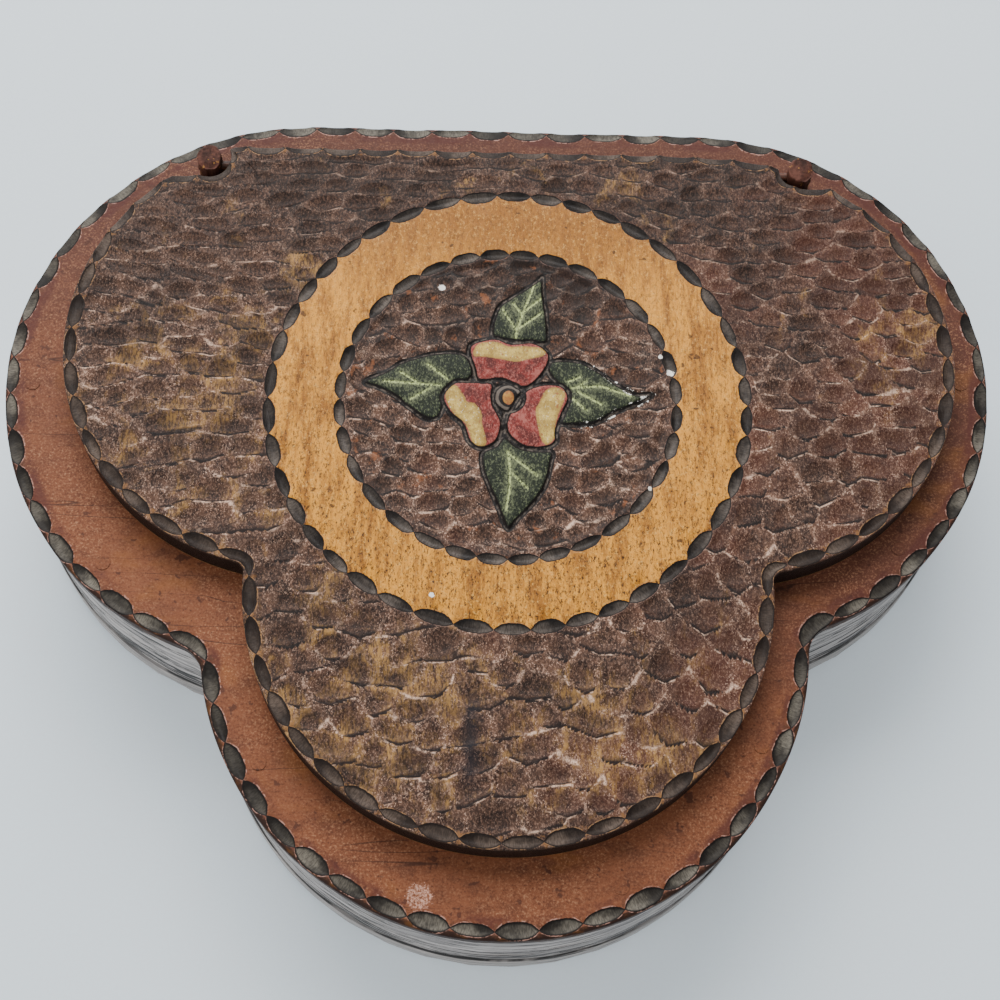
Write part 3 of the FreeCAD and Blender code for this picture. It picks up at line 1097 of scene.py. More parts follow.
@dataclass(frozen=True)
class MedallionWood(CarvedWood):
    """Carved ground with a painted flower: red and cream petals, dark green leaves, each inside
    a cut outline that holds stain. The paint is thin, speckled and rubbed at its edges."""

    bump: float = 0.12
    dull: float = 0.6
    rust: str = "#8a5230"
    red: str = "#6f231d"
    maroon: str = "#431512"
    rubbed: str = "#9c5a50"
    cream: str = "#bd9f52"
    ochre: str = "#86682f"
    green: str = "#13190c"
    moss: str = "#606548"
    vein: str = "#b3bd78"
    cut: str = "#130e0c"
    grey: str = "#5f544b"
    golden: str = "#a97a3c"
    chalk: str = "#e6e0d6"
    chalk_spots: tuple[Spot, ...] = (
        (-12.4, 23.2, 0.65), (27.6, 9.6, 0.4), (29.3, 6.4, 0.7), (25.0, -16.4, 0.35),
    )

    def _flower(self, tree: Tree, colour: Any, ragged: Any) -> Any:
        """Paints the leaves, the petals and the bud over a colour.

        Args:
            tree: Tree to draw into.
            colour: Colour of the ground.
            ragged: Unevenness of the painted edges, in mm.

        Returns:
            The colour with the flower.
        """
        leaf, petal, cream, vein, bowl, bud = (
            tree.add("Attribute", output="Fac", attribute_name=name)
            for name in ("leaf", "petal", "cream", "vein", "bowl", "bud")
        )
        leaf, petal, cream, vein = (
            tree.add("Math", distance, ragged, operation="ADD") for distance in (leaf, petal, cream, vein)
        )
        bowl = tree.add("Math", bowl, tree.add("Math", ragged, 0.6), operation="ADD")
        fine = tree.grain((3.2, 2.0, 3.0), 4, 0.75)
        broad = tree.grain((0.5, 0.5, 0.5), 4, 0.65)
        dots = tree.grain((1.3, 1.3, 1.3), 3, 0.6)
        green = tree.coat(
            self.green,
            (self.moss, (fine, 0.52, 0.62, 0, 0.75)),
            (self.moss, (vein, 1.6, 0.1), (fine, 0.42, 0.54)),
            (self.vein, (vein, 0.32, 0.02), (fine, 0.4, 0.56, 0.1, 1)),
        )
        red = tree.coat(
            self.red,
            (self.maroon, (broad, 0.45, 0.6, 0, 0.85)),
            (self.rubbed, (broad, 0.46, 0.34, 0, 0.7)),
            (self.rubbed, (fine, 0.48, 0.66, 0, 0.85)),
            (self.rubbed, (petal, -1.3, -0.5), (fine, 0.4, 0.55, 0, 0.6)),
        )
        pale = tree.coat(
            self.cream,
            (self.ochre, (broad, 0.4, 0.62, 0, 0.7)),
            (self.ochre, (cream, -0.7, -0.1, 0, 0.6)),
            (self.ochre, (fine, 0.5, 0.66, 0, 0.8)),
            (self.chalk, (fine, 0.4, 0.32, 0, 0.7)),
            (self.rust, (dots, 0.62, 0.68, 0, 0.8)),
        )
        return tree.coat(
            colour,
            (green, (leaf, 0.1, -0.1)),
            (tree.coat(red, (pale, (cream, 0.14, -0.14))), (petal, 0.1, -0.1)),
            (self.grey, (bowl, 0.1, -0.1)),
            (self.cut, (bowl, -0.6, -0.8)),
            (tree.coat(self.golden, (self.rust, (broad, 0.42, 0.58))), (bud, 0.12, -0.12)),
        )

    def _outlines(self, tree: Tree, colour: Any, ragged: Any) -> Any:
        """Draws the cut outlines over a colour, with chips of old chalk beside them at the right.

        Args:
            tree: Tree to draw into.
            colour: Colour of the ground and the flower.
            ragged: Unevenness of the painted edges, in mm.

        Returns:
            The colour with the outlines.
        """
        outline = tree.add("Attribute", output="Fac", attribute_name="outline")
        edge = tree.add("Math", outline, tree.add("Math", ragged, 0.6), operation="ADD")
        worn = tree.grain((0.9, 0.9, 0.9))
        line = tree.coat(self.cut, (self.grey, (edge, 0.24, 0.06), (worn, 0.42, 0.6, 0, 0.85)))
        chipped = tree.add("MapRange", tree.grain((0.7, 0.7, 0.7), 4, 0.7), 0.55, 0.6)
        beside = tree.add("Math", outline, 0.45, operation="SUBTRACT")
        beside = tree.add("Math", beside, operation="ABSOLUTE")
        beside = tree.overlap((beside, 0.24, 0.1), (tree.along("x"), 11, 14))
        return tree.coat(colour, (line, (edge, 0.56, 0.38)), (self.chalk, chipped, beside))

    def paint(self, tree: Tree) -> None:
        """Draws the ground, the flower and the border's nicks.

        Args:
            tree: Tree to draw into.
        """
        colour, sharp = self.ground.colour(tree, 0.0)
        smoky = tree.grain((0.07, 0.07, 1.0), 3, 0.6)
        smoky = tree.add("Math", tree.along("y"), 0.006, smoky, operation="MULTIPLY_ADD")
        rust = tree.grain((0.3, 0.22, 1.0), 4, 0.65)
        colour = tree.coat(
            colour,
            (self.cut, (smoky, 0.54, 0.74, 0, 0.6)),
            (self.rust, (rust, 0.6, 0.7, 0, 0.6)),
        )
        ragged = tree.add("Math", tree.grain((2.2, 2.2, 2.2)), 0.36, -0.18, operation="MULTIPLY_ADD")
        colour = self._outlines(tree, self._flower(tree, colour, ragged), ragged)
        colour, on_ring = self.nicked(tree, self.row.middle, 99.0, colour)
        for spot in self.chalk_spots:
            colour = tree.coat(colour, (self.chalk, tree.spot(*spot)))
        grain = tree.grain((4.0, 0.8, 4.0), 4, 0.7)
        self.waxed(tree, colour, grain, sharp, on_ring)


@dataclass(frozen=True)
class RimWood(Finish):
    """Thin birch board round the lid, stained red-brown and polished by hands, with faint dark lines of
    grain running from side to side, a band of bare wood on its edge and pale specks of painted sheen."""

    row: Nicks
    back: str = "#563124"
    front: str = "#75442b"
    dark: str = "#42241a"
    line: str = "#2e1a14"
    sheen: str = "#b0805f"
    bare: str = "#996026"
    edge: str = "#2a1811"
    maroon: str = "#47211c"
    pale: str = "#c0917c"
    pale_spot: Spot = (-14.0, -86.9, 2.1)

    def board(self, tree: Tree) -> tuple[Any, Any]:
        """Draws the plain board with its pale spot.

        Args:
            tree: Tree to draw into.

        Returns:
            Its colour, and the noise of its fibres.
        """
        broad = tree.grain((0.03, 0.12, 0.1), 4, 0.6)
        forward = tree.add("Math", tree.along("y"), -1.0)
        along = tree.add("Math", broad, 60.0, forward, operation="MULTIPLY_ADD")
        along = tree.add("Math", tree.along("x"), -0.35, along, operation="MULTIPLY_ADD")
        fibres = tree.grain((0.9, 2.0, 1.0), 5, 0.72)
        mottle = tree.grain((0.16, 0.3, 0.3), 5, 0.65)
        dust = tree.grain((2.6, 2.6, 2.6), 3, 0.75)
        rubbed = tree.grain((0.06, 0.06, 0.1), 3, 0.6)
        honeyed = tree.grain((0.045, 0.07, 0.1), 4, 0.6)
        dots = tree.grain((0.5, 0.5, 0.5), 2, 0.6)
        lines = tree.grain((0.014, 0.22, 0.22), 2, 0.4, 0.2)
        thin = tree.add("Math", lines, 0.5, operation="SUBTRACT")
        thin = tree.add("Math", thin, operation="ABSOLUTE")
        kept = tree.grain((0.02, 0.1, 0.1), 2)
        pale = tree.coat(self.pale, (self.front, (dust, 0.4, 0.6)))
        colour = tree.coat(
            self.back,
            (self.front, (along, 10, 90)),
            (self.dark, (mottle, 0.42, 0.7, 0, 0.45)),
            (self.dark, (fibres, 0.48, 0.7, 0, 0.4)),
            # pale specks of painted sheen, in patches over the board
            (self.sheen, (dust, 0.5, 0.68, 0, 0.5), (rubbed, 0.42, 0.6, 0.45, 1)),
            (self.dark, (dust, 0.46, 0.3, 0, 0.7)),
            (self.bare, (honeyed, 0.56, 0.7, 0, 0.22)),
            (self.dark, (dots, 0.64, 0.7, 0, 0.75)),
            (self.line, (thin, 0.008, 0.001), (kept, 0.48, 0.6, 0, 0.7)),
            (pale, tree.spot(*self.pale_spot)),
        )
        return colour, fibres

    def paint(self, tree: Tree) -> None:
        """Draws the board, its worn edge and the nicks.

        Args:
            tree: Tree to draw into.
        """
        colour, fibres = self.board(tree)
        run, inward = tree.edge_run(self.row)
        handled = tree.grain((0.09, 0.09, 0.1), 4, 0.65)
        golden = tree.grain((0.2, 0.2, 0.8), 5, 0.7)
        edge = tree.coat(self.edge, (self.bare, (golden, 0.5, 0.66, 0, 0.2)))
        colour = tree.coat(
            colour,
            (self.maroon, (handled, 0.45, 0.6, 0.15, 0.75), (inward, 7.5, 3.0)),
            (edge, (inward, 1.05, 0.75)),
        )
        nicks = NickPaint(self.row, floor="#6b6459", chip="#4a2e1f")
        colour = nicks.over(tree, run, inward, colour)
        rough = tree.add("MapRange", fibres, 0.3, 0.7, 0.5, 0.64)
        tree.surface(colour, rough, fibres, 0.05, Specular_IOR_Level=0.14)


@dataclass(frozen=True)
class BarkSkin(Finish):
    """Birch bark with its papery outside showing: silver grey, split into level layers, with
    dark breathing marks drawn out sideways."""

    pale: str = "#c4bbb6"
    grey: str = "#756e6b"
    tan: str = "#94867c"
    mark: str = "#151211"
    split_heights: tuple[float, ...] = (7.5, 8.6, 9.9, 11.8, 15.5)

    def paint(self, tree: Tree) -> None:
        """Draws the sheets, the marks and the splits.

        Args:
            tree: Tree to draw into.
        """
        sheets = tree.grain((0.05, 0.05, 0.7), 5, 0.62)
        stain = tree.grain((0.08, 0.08, 0.25), 4, 0.6)
        marks = tree.grain((0.11, 0.11, 1.1), 5, 0.66)
        marks = tree.add("MapRange", marks, 0.54, 0.6, 0, 0.9)
        colour = tree.coat(
            self.grey,
            (self.pale, (sheets, 0.35, 0.65)),
            (self.tan, (stain, 0.52, 0.68, 0, 0.6)),
            (self.mark, marks),
        )
        wave = tree.grain((0.05, 0.05, 0.0), 4)
        height = tree.add("Math", tree.along("z"), 1.5, operation="SUBTRACT")
        height = tree.add("Math", wave, 3.0, height, operation="MULTIPLY_ADD")
        relief = tree.add("Math", marks, -0.5, sheets, operation="MULTIPLY_ADD")
        for level in self.split_heights:
            split = tree.add("Math", height, level, operation="SUBTRACT")
            split = tree.add("Math", split, operation="ABSOLUTE")
            here = tree.place(0.07, 0.07, 0)
            here = tree.add("VectorMath", here, (0.0, 0.0, 2.3 * level), operation="ADD")
            kept = tree.add("TexNoise", here, None, 1, 4, 0.55)
            split = tree.overlap((split, 0.5, 0.3), (kept, 0.42, 0.54))
            colour = tree.coat(colour, (self.mark, split))
            relief = tree.add("Math", split, -0.6, relief, operation="MULTIPLY_ADD")
        rough = tree.add("MapRange", sheets, 0.3, 0.7, 0.5, 0.68)
        tree.surface(colour, rough, relief, 0.35, Specular_IOR_Level=0.35)


@dataclass(frozen=True)
class PlainWood(Finish):
    """Bare or stained wood with its grain along one axis: how stretched the fibres are along
    each axis says which way it was sawn."""

    light: str
    dark: str
    stretch: Spot = (2.6, 2.6, 0.25)
    rough: float = 0.6
    flecks: str = "#e0c49a"
    fleck_share: float = 0.0

    def paint(self, tree: Tree) -> None:
        """Draws the fibres, broader bands of tone and a few pale flecks.

        Args:
            tree: Tree to draw into.
        """
        fibres = tree.grain(self.stretch, 4, 0.62)
        x, y, z = self.stretch
        bands = tree.grain((0.22 * x, 0.22 * y, 0.22 * z), 3, 0.5)
        both = tree.add("Math", bands, 0.8, tree.add("Math", fibres, 0.6), operation="MULTIPLY_ADD")
        chips = tree.grain((0.8, 0.8, 0.8), 3, 0.6)
        colour = tree.coat(
            self.dark,
            (self.light, (both, 0.5, 0.92)),
            (self.flecks, (chips, 0.6, 0.66, 0, self.fleck_share)),
        )
        rough = tree.add("MapRange", fibres, 0.3, 0.7, self.rough + 0.08, self.rough - 0.08)
        tree.surface(colour, rough, fibres, 0.08, Specular_IOR_Level=0.2)


@dataclass(frozen=True)
class BottomWood(Finish):
    """Board under the box, weathered to the grey of the bark, with black nicks along its lower
    edge."""

    row: Nicks
    light: str = "#b9b0aa"
    dark: str = "#756d69"
    joint: str = "#171412"
    joint_height: float = 6.6
    sapwood: str = "#c9a878"
    heartwood: str = "#a17a4e"

    def paint(self, tree: Tree) -> None:
        """Draws the grain, the dark joint under the bark, the bare flat sides and the nicks.

        Args:
            tree: Tree to draw into.
        """
        fibres = tree.grain((0.1, 0.1, 2.4), 4, 0.6)
        lines = tree.grain((0.08, 0.08, 1.6), 3, 0.5)
        gap = tree.grain((0.09, 0.09, 0), 4, 0.6)
        lengthwise = tree.grain((0.2, 2.2, 2.2), 4, 0.6)
        joint = (tree.along("z"), self.joint_height, self.joint_height + 0.3)
        run, height = tree.edge_run(self.row)
        bare = tree.coat(self.sapwood, (self.heartwood, (lengthwise, 0.36, 0.66)))
        colour = tree.coat(
            self.dark,
            (self.light, (fibres, 0.36, 0.64)),
            (self.joint, (lines, 0.58, 0.64, 0, 0.85)),
            (self.joint, (gap, 0.42, 0.56, 0.5, 1), joint),
            (bare, (height, INNER - 0.2, INNER - 0.01)),
        )
        colour = NickPaint(self.row, floor="#1c1816", lip_share=0.0).over(tree, run, height, colour)
        tree.surface(colour, tree.add("MapRange", fibres, 0.3, 0.7, 0.4, 0.55), fibres, 0.06)


@dataclass(frozen=True)
class PegWood(Finish):
    """Ends of whittled pegs, polished and stained with the board round them, so that only their
    end grain tells them from it."""

    board: RimWood
    dark: str = "#4a2a1c"

    def paint(self, tree: Tree) -> None:
        """Draws end grain over the board's own colour.

        Args:
            tree: Tree to draw into.
        """
        colour = self.board.board(tree)[0]
        grain = tree.grain((2.2, 2.2, 0.3), 4, 0.6)
        colour = tree.coat(colour, (self.dark, (grain, 0.42, 0.65, 0, 0.4)))
        tree.surface(colour, 0.6, grain, 0.06, Specular_IOR_Level=0.14)


@dataclass(frozen=True)
class FloorPaper(Finish):
    """Pale matt board of a light table: its own faint glow keeps shadows soft."""

    pale: str = "#c0c9ce"
    tooth: str = "#bac3c9"
    glow: str = "#dde5ea"
    glow_strength: float = 0.36

    def paint(self, tree: Tree) -> None:
        """Draws a fine even tooth with a faint glow.

        Args:
            tree: Tree to draw into.
        """
        tooth = tree.grain((1.2, 1.2, 1.2))
        colour = tree.coat(self.pale, (self.tooth, tooth))
        glow = {"Emission_Color": linear(self.glow), "Emission_Strength": self.glow_strength}
        tree.surface(colour, 0.85, tooth, 0.02, **glow)


# ---- Sizes that pieces share ----

RIM_PLAN = Trefoil((-36.5, 7.0, 55.3), (36.7, 9.4, 52.5), (0.0, -41.0, 53.0), 6.0)
LID_PLAN = Trefoil((-36.2, 11.6, 44.2), (39.0, 10.0, 42.4), (0.3, -34.7, 45.7), 2.0)
LEFT_POST = middle_of("left_hinge_post")
RIGHT_POST = middle_of("right_hinge_post")
HINGE_Y = float(LEFT_POST[1])
WALL_TOP = top_of("inner_wall")
RIM_TOP = top_of("rim_board")
LID_TOP = top_of("lid_board")
BOTTOM_TOP = top_of("bottom_board")

# gouge nicks of the five borders
LID_EDGE_ROW = Nicks(count=68, middle=1.1, half_width=1.3, behind=1.0, depth=0.6, uneven=0.14)
RING_OUTER_ROW = Nicks(count=42, middle=43.1, half_width=0.8, behind=1.4, depth=0.6, wander=0.14)
RING_INNER_ROW = Nicks(
    count=32, middle=30.2, half_width=1.15, behind=0.95, depth=0.6, wander=0.12, bends=4
)
RIM_ROW = Nicks(count=72, middle=1.4, half_width=1.4, behind=1.05, depth=0.6, uneven=0.16)
BOTTOM_ROW = Nicks(count=69, middle=0.4, half_width=1.3, behind=1.3, depth=0.4, uneven=0.35)

RING_INNER_R = 31.4
RING_OUTER_R = 41.8


# ---- Pieces ----


@dataclass
class Piece:
    """One of the pieces that the box is dressed in."""

    def build(self) -> bpy.types.Object:
        """Makes the piece's object."""
        raise NotImplementedError

    def dress(self, finish: Finish, body: Body, slot: str, *nodes: str) -> None:
        """Builds the piece and gives it its finish and its place in the frame.

        Args:
            finish: Its finish.
            body: Body that it rides on.
            slot: Material slot that the finish belongs to; not used.
            nodes: Frame nodes that it stands for.
        """
        piece = self.build()
        piece.data.materials.append(finish.material())
        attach(piece, body.value)
        if nodes:
            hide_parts(*nodes)
        LOG.info("%s rides on %s", piece.name, body.value)


@dataclass
class CarvedLid(Piece):
    """Lid board: edge with nicks, gouged ground and smooth ring, open for the medallion."""

    plan: Trefoil = LID_PLAN
    base: float = RIM_TOP
    top: float = LID_TOP
    notch_radius: float = 4.2
    hinge_height: float = 3.2
    barrel_gap: float = 0.25
    back_lean: float = 10.0
    side_drop: float = 0.9
    side_back: float = 0.7
    chamfer: float = 0.12
    edge_drop: float = 0.05
    strip: float = 3.2
    strip_step: float = 0.29
    carved_from: float = 1.6
    row_slide: float = 0.8
    slide_from: float = 28.0
    slide_over: float = 8.0
    border: float = 3.2
    ground_from: float = 43.9
    ring_drop: float = 0.06
    ring_radii: tuple[float, ...] = (
        RING_OUTER_R - 0.3, 38.5, 35.0, RING_INNER_R + 0.3, RING_INNER_R + 0.03, RING_INNER_R,
    )
    ground_drop: float = 0.65
    seat_depth: float = 1.3
    seat_hub: float = 8.0
    columns_per_nick: int = 20
    bearings: int = 9000
    field_rings: int = 70
    border_rings: int = 11
    marks: GougeMarks = GougeMarks(
        length=6.6, row=3.9, depth=1.2, steep=0.42, seed=7, shorter=0.2, denser=0.18
    )
    worn_places: tuple[Spot, ...] = (
        (-58.0, 0.0, 20.0), (-26.0, -55.0, 24.0), (72.0, 14.0, 7.0), (22.0, 46.0, 4.5),
        (20.0, -62.0, 14.0), (-38.0, 25.0, 5.0),
    )
    soot_place: Place = (-6.0, -62.0)
    soot_size: Place = (1.5, 8.0)

    def _back_levels(self) -> list[Place]:
        """Levels on the side of the board: straight up to the barrel, then round about the
        hinge line, to where the side starts to lean forwards.

        Returns:
            Heights, each with the furthest that the board reaches back there.
        """
        centre = self.base + self.hinge_height
        radius = self.hinge_height - self.barrel_gap
        lean = math.radians(self.back_lean)
        levels = [(self.base + 0.02, HINGE_Y), (centre - radius, HINGE_Y)]
        for angle in (-math.pi / 3, -math.pi / 6, 0.0, lean):
            levels.append((centre + radius * math.sin(angle), HINGE_Y + radius * math.cos(angle)))
        return levels

    def _outline(self, back: float) -> Array:
        """Outline of the board: in each direction the nearest of the trefoil, the back line, the
        round notch about each post and the shoulder beside it.

        Args:
            back: Furthest that the board reaches back.

        Returns:
            Points from the middle of the back, shape (n, 2).
        """
        angle = math.pi / 2 - TURN * np.arange(self.bearings) / self.bearings
        cos, sin = np.cos(angle), np.sin(angle)
        up = np.maximum(sin, 1e-6)
        reach = np.minimum(self.plan.reach(angle), np.where(sin > 0, back / up, np.inf))
        shoulder = HINGE_Y - self.notch_radius
        for post in (LEFT_POST, RIGHT_POST):
            along = post[0] * cos + HINGE_Y * sin
            beside = post[0] ** 2 + HINGE_Y**2 - along**2
            hit = along - np.sqrt(np.maximum(self.notch_radius**2 - beside, 0))
            in_notch = (beside < self.notch_radius**2) & (along > 0)
            reach = np.where(in_notch, np.minimum(reach, hit), reach)
            outside = (sin > 0) & (np.sign(post[0]) * shoulder * cos / up > abs(post[0]))
            reach = np.where(outside, np.minimum(reach, shoulder / up), reach)
        return directions(angle) * reach[:, None]

    def _traits(self, plan: Array, inward: Array | float) -> dict[str, Array]:
        """Relief and wear of the gouged ground. A worn place fades as exp(-d^2 / r^2).

        Args:
            plan: Places of the top, shape (n, 2).
            inward: Distance inside the edge.

        Returns:
            Traits by name.
        """
        x, y = plan.T
        cuts = self.marks.relief(x, y)
        height = np.min([cuts[kind] for kind in SCOOP_KINDS], axis=0)
        worn = sum(np.exp(-((x - a) ** 2 + (y - b) ** 2) / r**2) for a, b, r in self.worn_places)
        across, along = ((plan - self.soot_place) / self.soot_size).T
        soot = np.exp(-across**2 - along**4)
        level = np.minimum(height, self.ground_drop)
        return cuts | {"level": level, "worn": worn, "soot": soot, "inward": inward}

    def build(self) -> bpy.types.Object:
        """Skin from the middle of the underside, up the sides and in over the top.

        Returns:
            The piece.
        """
        columns = LID_EDGE_ROW.count * self.columns_per_nick
        levels = self._back_levels()
        widest = resampled(self._outline(levels[-2][1]), columns)
        flat = BLANK_GROUND | {"worn": 0.0, "soot": 0.0, "inward": INNER}
        skin = Skin()

        def pulled_in(back: float) -> Array:
            """The widest outline with its back cut off."""
            return np.stack([widest[:, 0], np.minimum(widest[:, 1], back)], axis=1)

        foot = pulled_in(levels[0][1])
        skin.ring(foot[::4] * 0.5, levels[0][0], **flat)
        skin.ring(foot[::2] * 0.92, levels[0][0], **flat)
        for height, back in levels:
            skin.ring(pulled_in(back), height, **flat)
        lean = math.tan(math.radians(self.back_lean))
        back_top = levels[-1][1] - lean * (self.top - levels[-1][0])
        skin.ring(pulled_in(back_top + self.side_back * lean), self.top - self.side_drop, **flat)
        inner = self._add_field(skin, self._add_strip(skin, pulled_in(back_top)))
        for radius in self.ring_radii:
            self._top_ring(skin, inner * radius)
        seat = self.top - self.seat_depth
        skin.ring(inner * RING_INNER_R, seat, **flat)
        skin.ring(inner[::2] * self.seat_hub, seat, **flat)
        return skin.build("carved_lid")

    def _add_strip(self, skin: Skin, edge: Array) -> Array:
        """Adds the rings of the top that carry the nicks.

        Args:
            skin: Skin of the board.
            edge: Outline of the top.

        Returns:
            Places of the last ring.
        """
        run = np.arange(len(edge)) / len(edge) * LID_EDGE_ROW.count
        normal = outward(edge, 2 * self.columns_per_nick)
        slid = self.row_slide * np.clip((edge[:, 1] - self.slide_from) / self.slide_over, 0, 1)
        steps = np.arange(0.3, self.strip + 0.01, self.strip_step)
        for inward in np.concatenate([[0.0, self.chamfer], steps]):
            plan = edge - normal * inward
            traits = self._traits(plan, inward + slid)
            carved = np.clip((inward - self.carved_from) / self.carved_from, 0, 1)
            height = self.top - self.edge_drop - carved * (self.ground_drop - traits["level"])
            height = height - LID_EDGE_ROW.depth_at(run, inward + slid)
            skin.ring(plan, height - (self.chamfer if inward == 0 else 0.0), open=carved, **traits)
        return edge - normal * self.strip

    def _add_field(self, skin: Skin, start: Array) -> Array:
        """Adds the rings of the ground, which turn from the outline's shape to a circle, and of
        the ring's outer border.

        Args:
            skin: Skin of the board.
            start: Places of the ring before, of which every other one goes on.

        Returns:
            Unit vectors towards every other place of the last ring.
        """
        outer = start[::2]
        bearing = np.unwrap(np.arctan2(outer[:, 1], outer[:, 0]))
        straight = bearing[0] - TURN * np.arange(len(bearing)) / len(bearing)
        inner = directions(straight + smoothed(bearing - straight, 31))
        field_edge = RING_OUTER_R + self.border
        for part in np.arange(1, self.field_rings + 1) / self.field_rings:
            self._top_ring(skin, outer + (inner * field_edge - outer) * part)
        for radius in np.linspace(field_edge, RING_OUTER_R, self.border_rings + 1)[1:]:
            self._top_ring(skin, inner * radius)
        return inner[::2]

    def _top_ring(self, skin: Skin, plan: Array) -> None:
        """Adds a ring of the ground, the outer border or the smooth ring.

        Args:
            skin: Skin of the board.
            plan: Places, shape (n, 2).
        """
        x, y = plan.T
        radius = np.hypot(x, y)
        traits = self._traits(plan, INNER)
        carved = np.clip(radius - self.ground_from, 0, 1)
        sink = carved * (self.ground_drop - traits["level"])
        nick = RING_OUTER_ROW.depth_at(RING_OUTER_ROW.run_at(np.arctan2(y, x)), radius)
        skin.ring(plan, self.top - self.ring_drop - sink - nick, open=carved, **traits)


@dataclass(frozen=True)
class Flower:
    """Places of the carved flower's outlines, petals first, then leaves, in mm from the middle
    of the ring."""

    petals: Curves = (
        ((-7.3, 10), (-6.5, 11.8), (-2.5, 12.9), (0.5, 11.9), (4.5, 12.2), (7.4, 10), (7, 7), (4.5, 3.6),
         (2.2, 2.8), (0, 4), (-2, 4.4), (-5.4, 4), (-6.4, 6.8)),
        ((-3, 3.8), (-7.5, 4), (-10, 3.7), (-12, 0.8), (-10.6, -2.4), (-8.3, -4.6), (-7, -8), (-4.8, -9.3),
         (-2, -7.8), (-1.1, -4), (-2.6, -0.6), (-2.8, 1.6)),
        ((2.8, 2.2), (6, 3.7), (9.6, 3.5), (11, 1), (9.8, -2.2), (8.7, -5.5), (8.6, -7.6), (6.8, -8.9),
         (3, -8.9), (0, -6.6), (-0.5, -4), (0.6, -1.2)),
    )
    creams: Curves = (
        ((-6.4, 9.2), (-5.6, 11.4), (-2.4, 12), (0, 11.1), (3, 11.2), (6.2, 10.8), (6.4, 9.4), (3, 8.4),
         (1.2, 8), (-1.5, 8.5), (-4.4, 8.9)),
        ((-9.4, 3), (-8, 1), (-7.4, -0.2), (-6, -0.6), (-4.8, -2.4), (-4.7, -4.4), (-3.9, -8.2), (-5, -9),
         (-6.4, -8), (-7.6, -4.6), (-9.9, -2.4), (-11.3, 0.8), (-10.6, 2.7)),
        ((8.2, 3), (9.9, 2.4), (10.1, 1), (8.9, -2.5), (8.4, -4.5), (8.5, -6.5), (7, -8.3), (6, -7.6),
         (5.4, -5.5), (4.9, -1.8), (5.6, 0), (6.6, 2.2)),
    )
    leaves: Curves = (
        ((6.3, 25.7), (6.4, 22), (6.9, 18), (7.2, 14), (6.6, 12), (2, 12.2), (-2.5, 12.9), (-3.1, 15),
         (-2, 19), (0, 21), (3, 23.2), (5.3, 25)),
        ((-26, 3.6), (-22, 5.8), (-19, 7.8), (-13, 9.6), (-8, 9.3), (-6.3, 6), (-7.5, 4), (-11, 2.4),
         (-11.6, -0.8), (-12.4, -3.2), (-14.6, -3.6), (-18.5, -1), (-20, 0.5), (-23, 2.2)),
        ((26, 2), (23, 2), (20, 3.6), (17.5, 5.6), (13, 8.3), (8, 8.4), (7, 6.6), (8.6, 4), (11, 2),
         (10, -2), (9.4, -4.2), (13, -4.2), (16, -3.7), (18.5, -2), (22, -0.4)),
        ((0, -24.5), (-1.2, -22), (-2.3, -19), (-3.6, -16), (-4.6, -13), (-4.6, -10), (-2.2, -8.6),
         (-0.6, -6.8), (1.5, -8.6), (4.4, -9.4), (7.8, -9.6), (7.6, -12), (7, -15), (5.6, -18),
         (3.6, -20.6), (1.6, -22.8)),
    )
    veins: Curves = (
        ((1.2, 12.5), (1.5, 14.5), (2.6, 18), (4, 22), (4.6, 24)),
        ((1.3, 14.5), (-1.2, 18.8)), ((2.5, 17.5), (0.8, 20)), ((1.8, 14.8), (5.8, 18)),
        ((3, 18.5), (6, 21.2)),
        ((-22.5, 3.7), (-17, 3.3), (-12.2, 3)), ((-14.6, 7.2), (-11, 4.2)), ((-19.5, 5.5), (-16.5, 3.6)),
        ((-17.5, 0.2), (-14, 2.4)),
        ((11.3, 2.9), (16.5, 3.4), (22, 1.6)), ((10.8, 4.2), (13, 5.2)), ((12.3, 3), (14, 4.3)),
        ((12.5, 2.2), (16.8, -0.3)), ((11.5, 0.8), (14, -1.5)),
        ((0, -9.8), (0.3, -13), (0.3, -17), (-0.3, -21)), ((-0.2, -10), (5.2, -14.4)),
        ((0.7, -14), (3.4, -16.8)),
    )
    bud: tuple[Place, ...] = ((0, 2.2), (0.9, 1.5), (0.8, 0.2), (0, -0.4), (-0.9, 0.2), (-0.9, 1.5))
    stem: tuple[Place, ...] = ((-0.7, -2), (-0.9, -4), (-0.7, -6))
    bud_ring: Place = (0.0, 0.9)
    bud_ring_radius: float = 2.8

    def distances(self, x: Array, y: Array) -> dict[str, Array]:
        """Signed distance to each kind of shape, negative inside, and to the nearest outline.

        Args:
            x: Places.
            y: Places.

        Returns:
            Distances by kind.
        """

        def nearest(loops: Curves) -> Array:
            """Signed distance to the nearest of some shapes."""
            return np.min([signed_distance(x, y, smooth_loop(loop)) for loop in loops], axis=0)

        def all_edges(loops: Curves) -> Array:
            """Distance to the nearest outline of some shapes."""
            return np.min([np.abs(signed_distance(x, y, smooth_loop(loop))) for loop in loops], axis=0)

        petal, leaf = nearest(self.petals), nearest(self.leaves)
        leaf_edge = np.where(petal > 0, all_edges(self.leaves), np.inf)
        ring = np.hypot(x - self.bud_ring[0], y - self.bud_ring[1]) - self.bud_ring_radius
        stem = distance_to(x, y, np.array(self.stem))
        return {
            "petal": np.maximum(petal, -ring),
            "leaf": leaf,
            "cream": nearest(self.creams),
            "vein": np.min([distance_to(x, y, np.array(v)) for v in self.veins], axis=0),
            "bud": signed_distance(x, y, smooth_loop(self.bud)),
            "bowl": ring + 0.3,
            "outline": np.minimum.reduce([all_edges(self.petals), leaf_edge, np.abs(ring), stem]),
        }


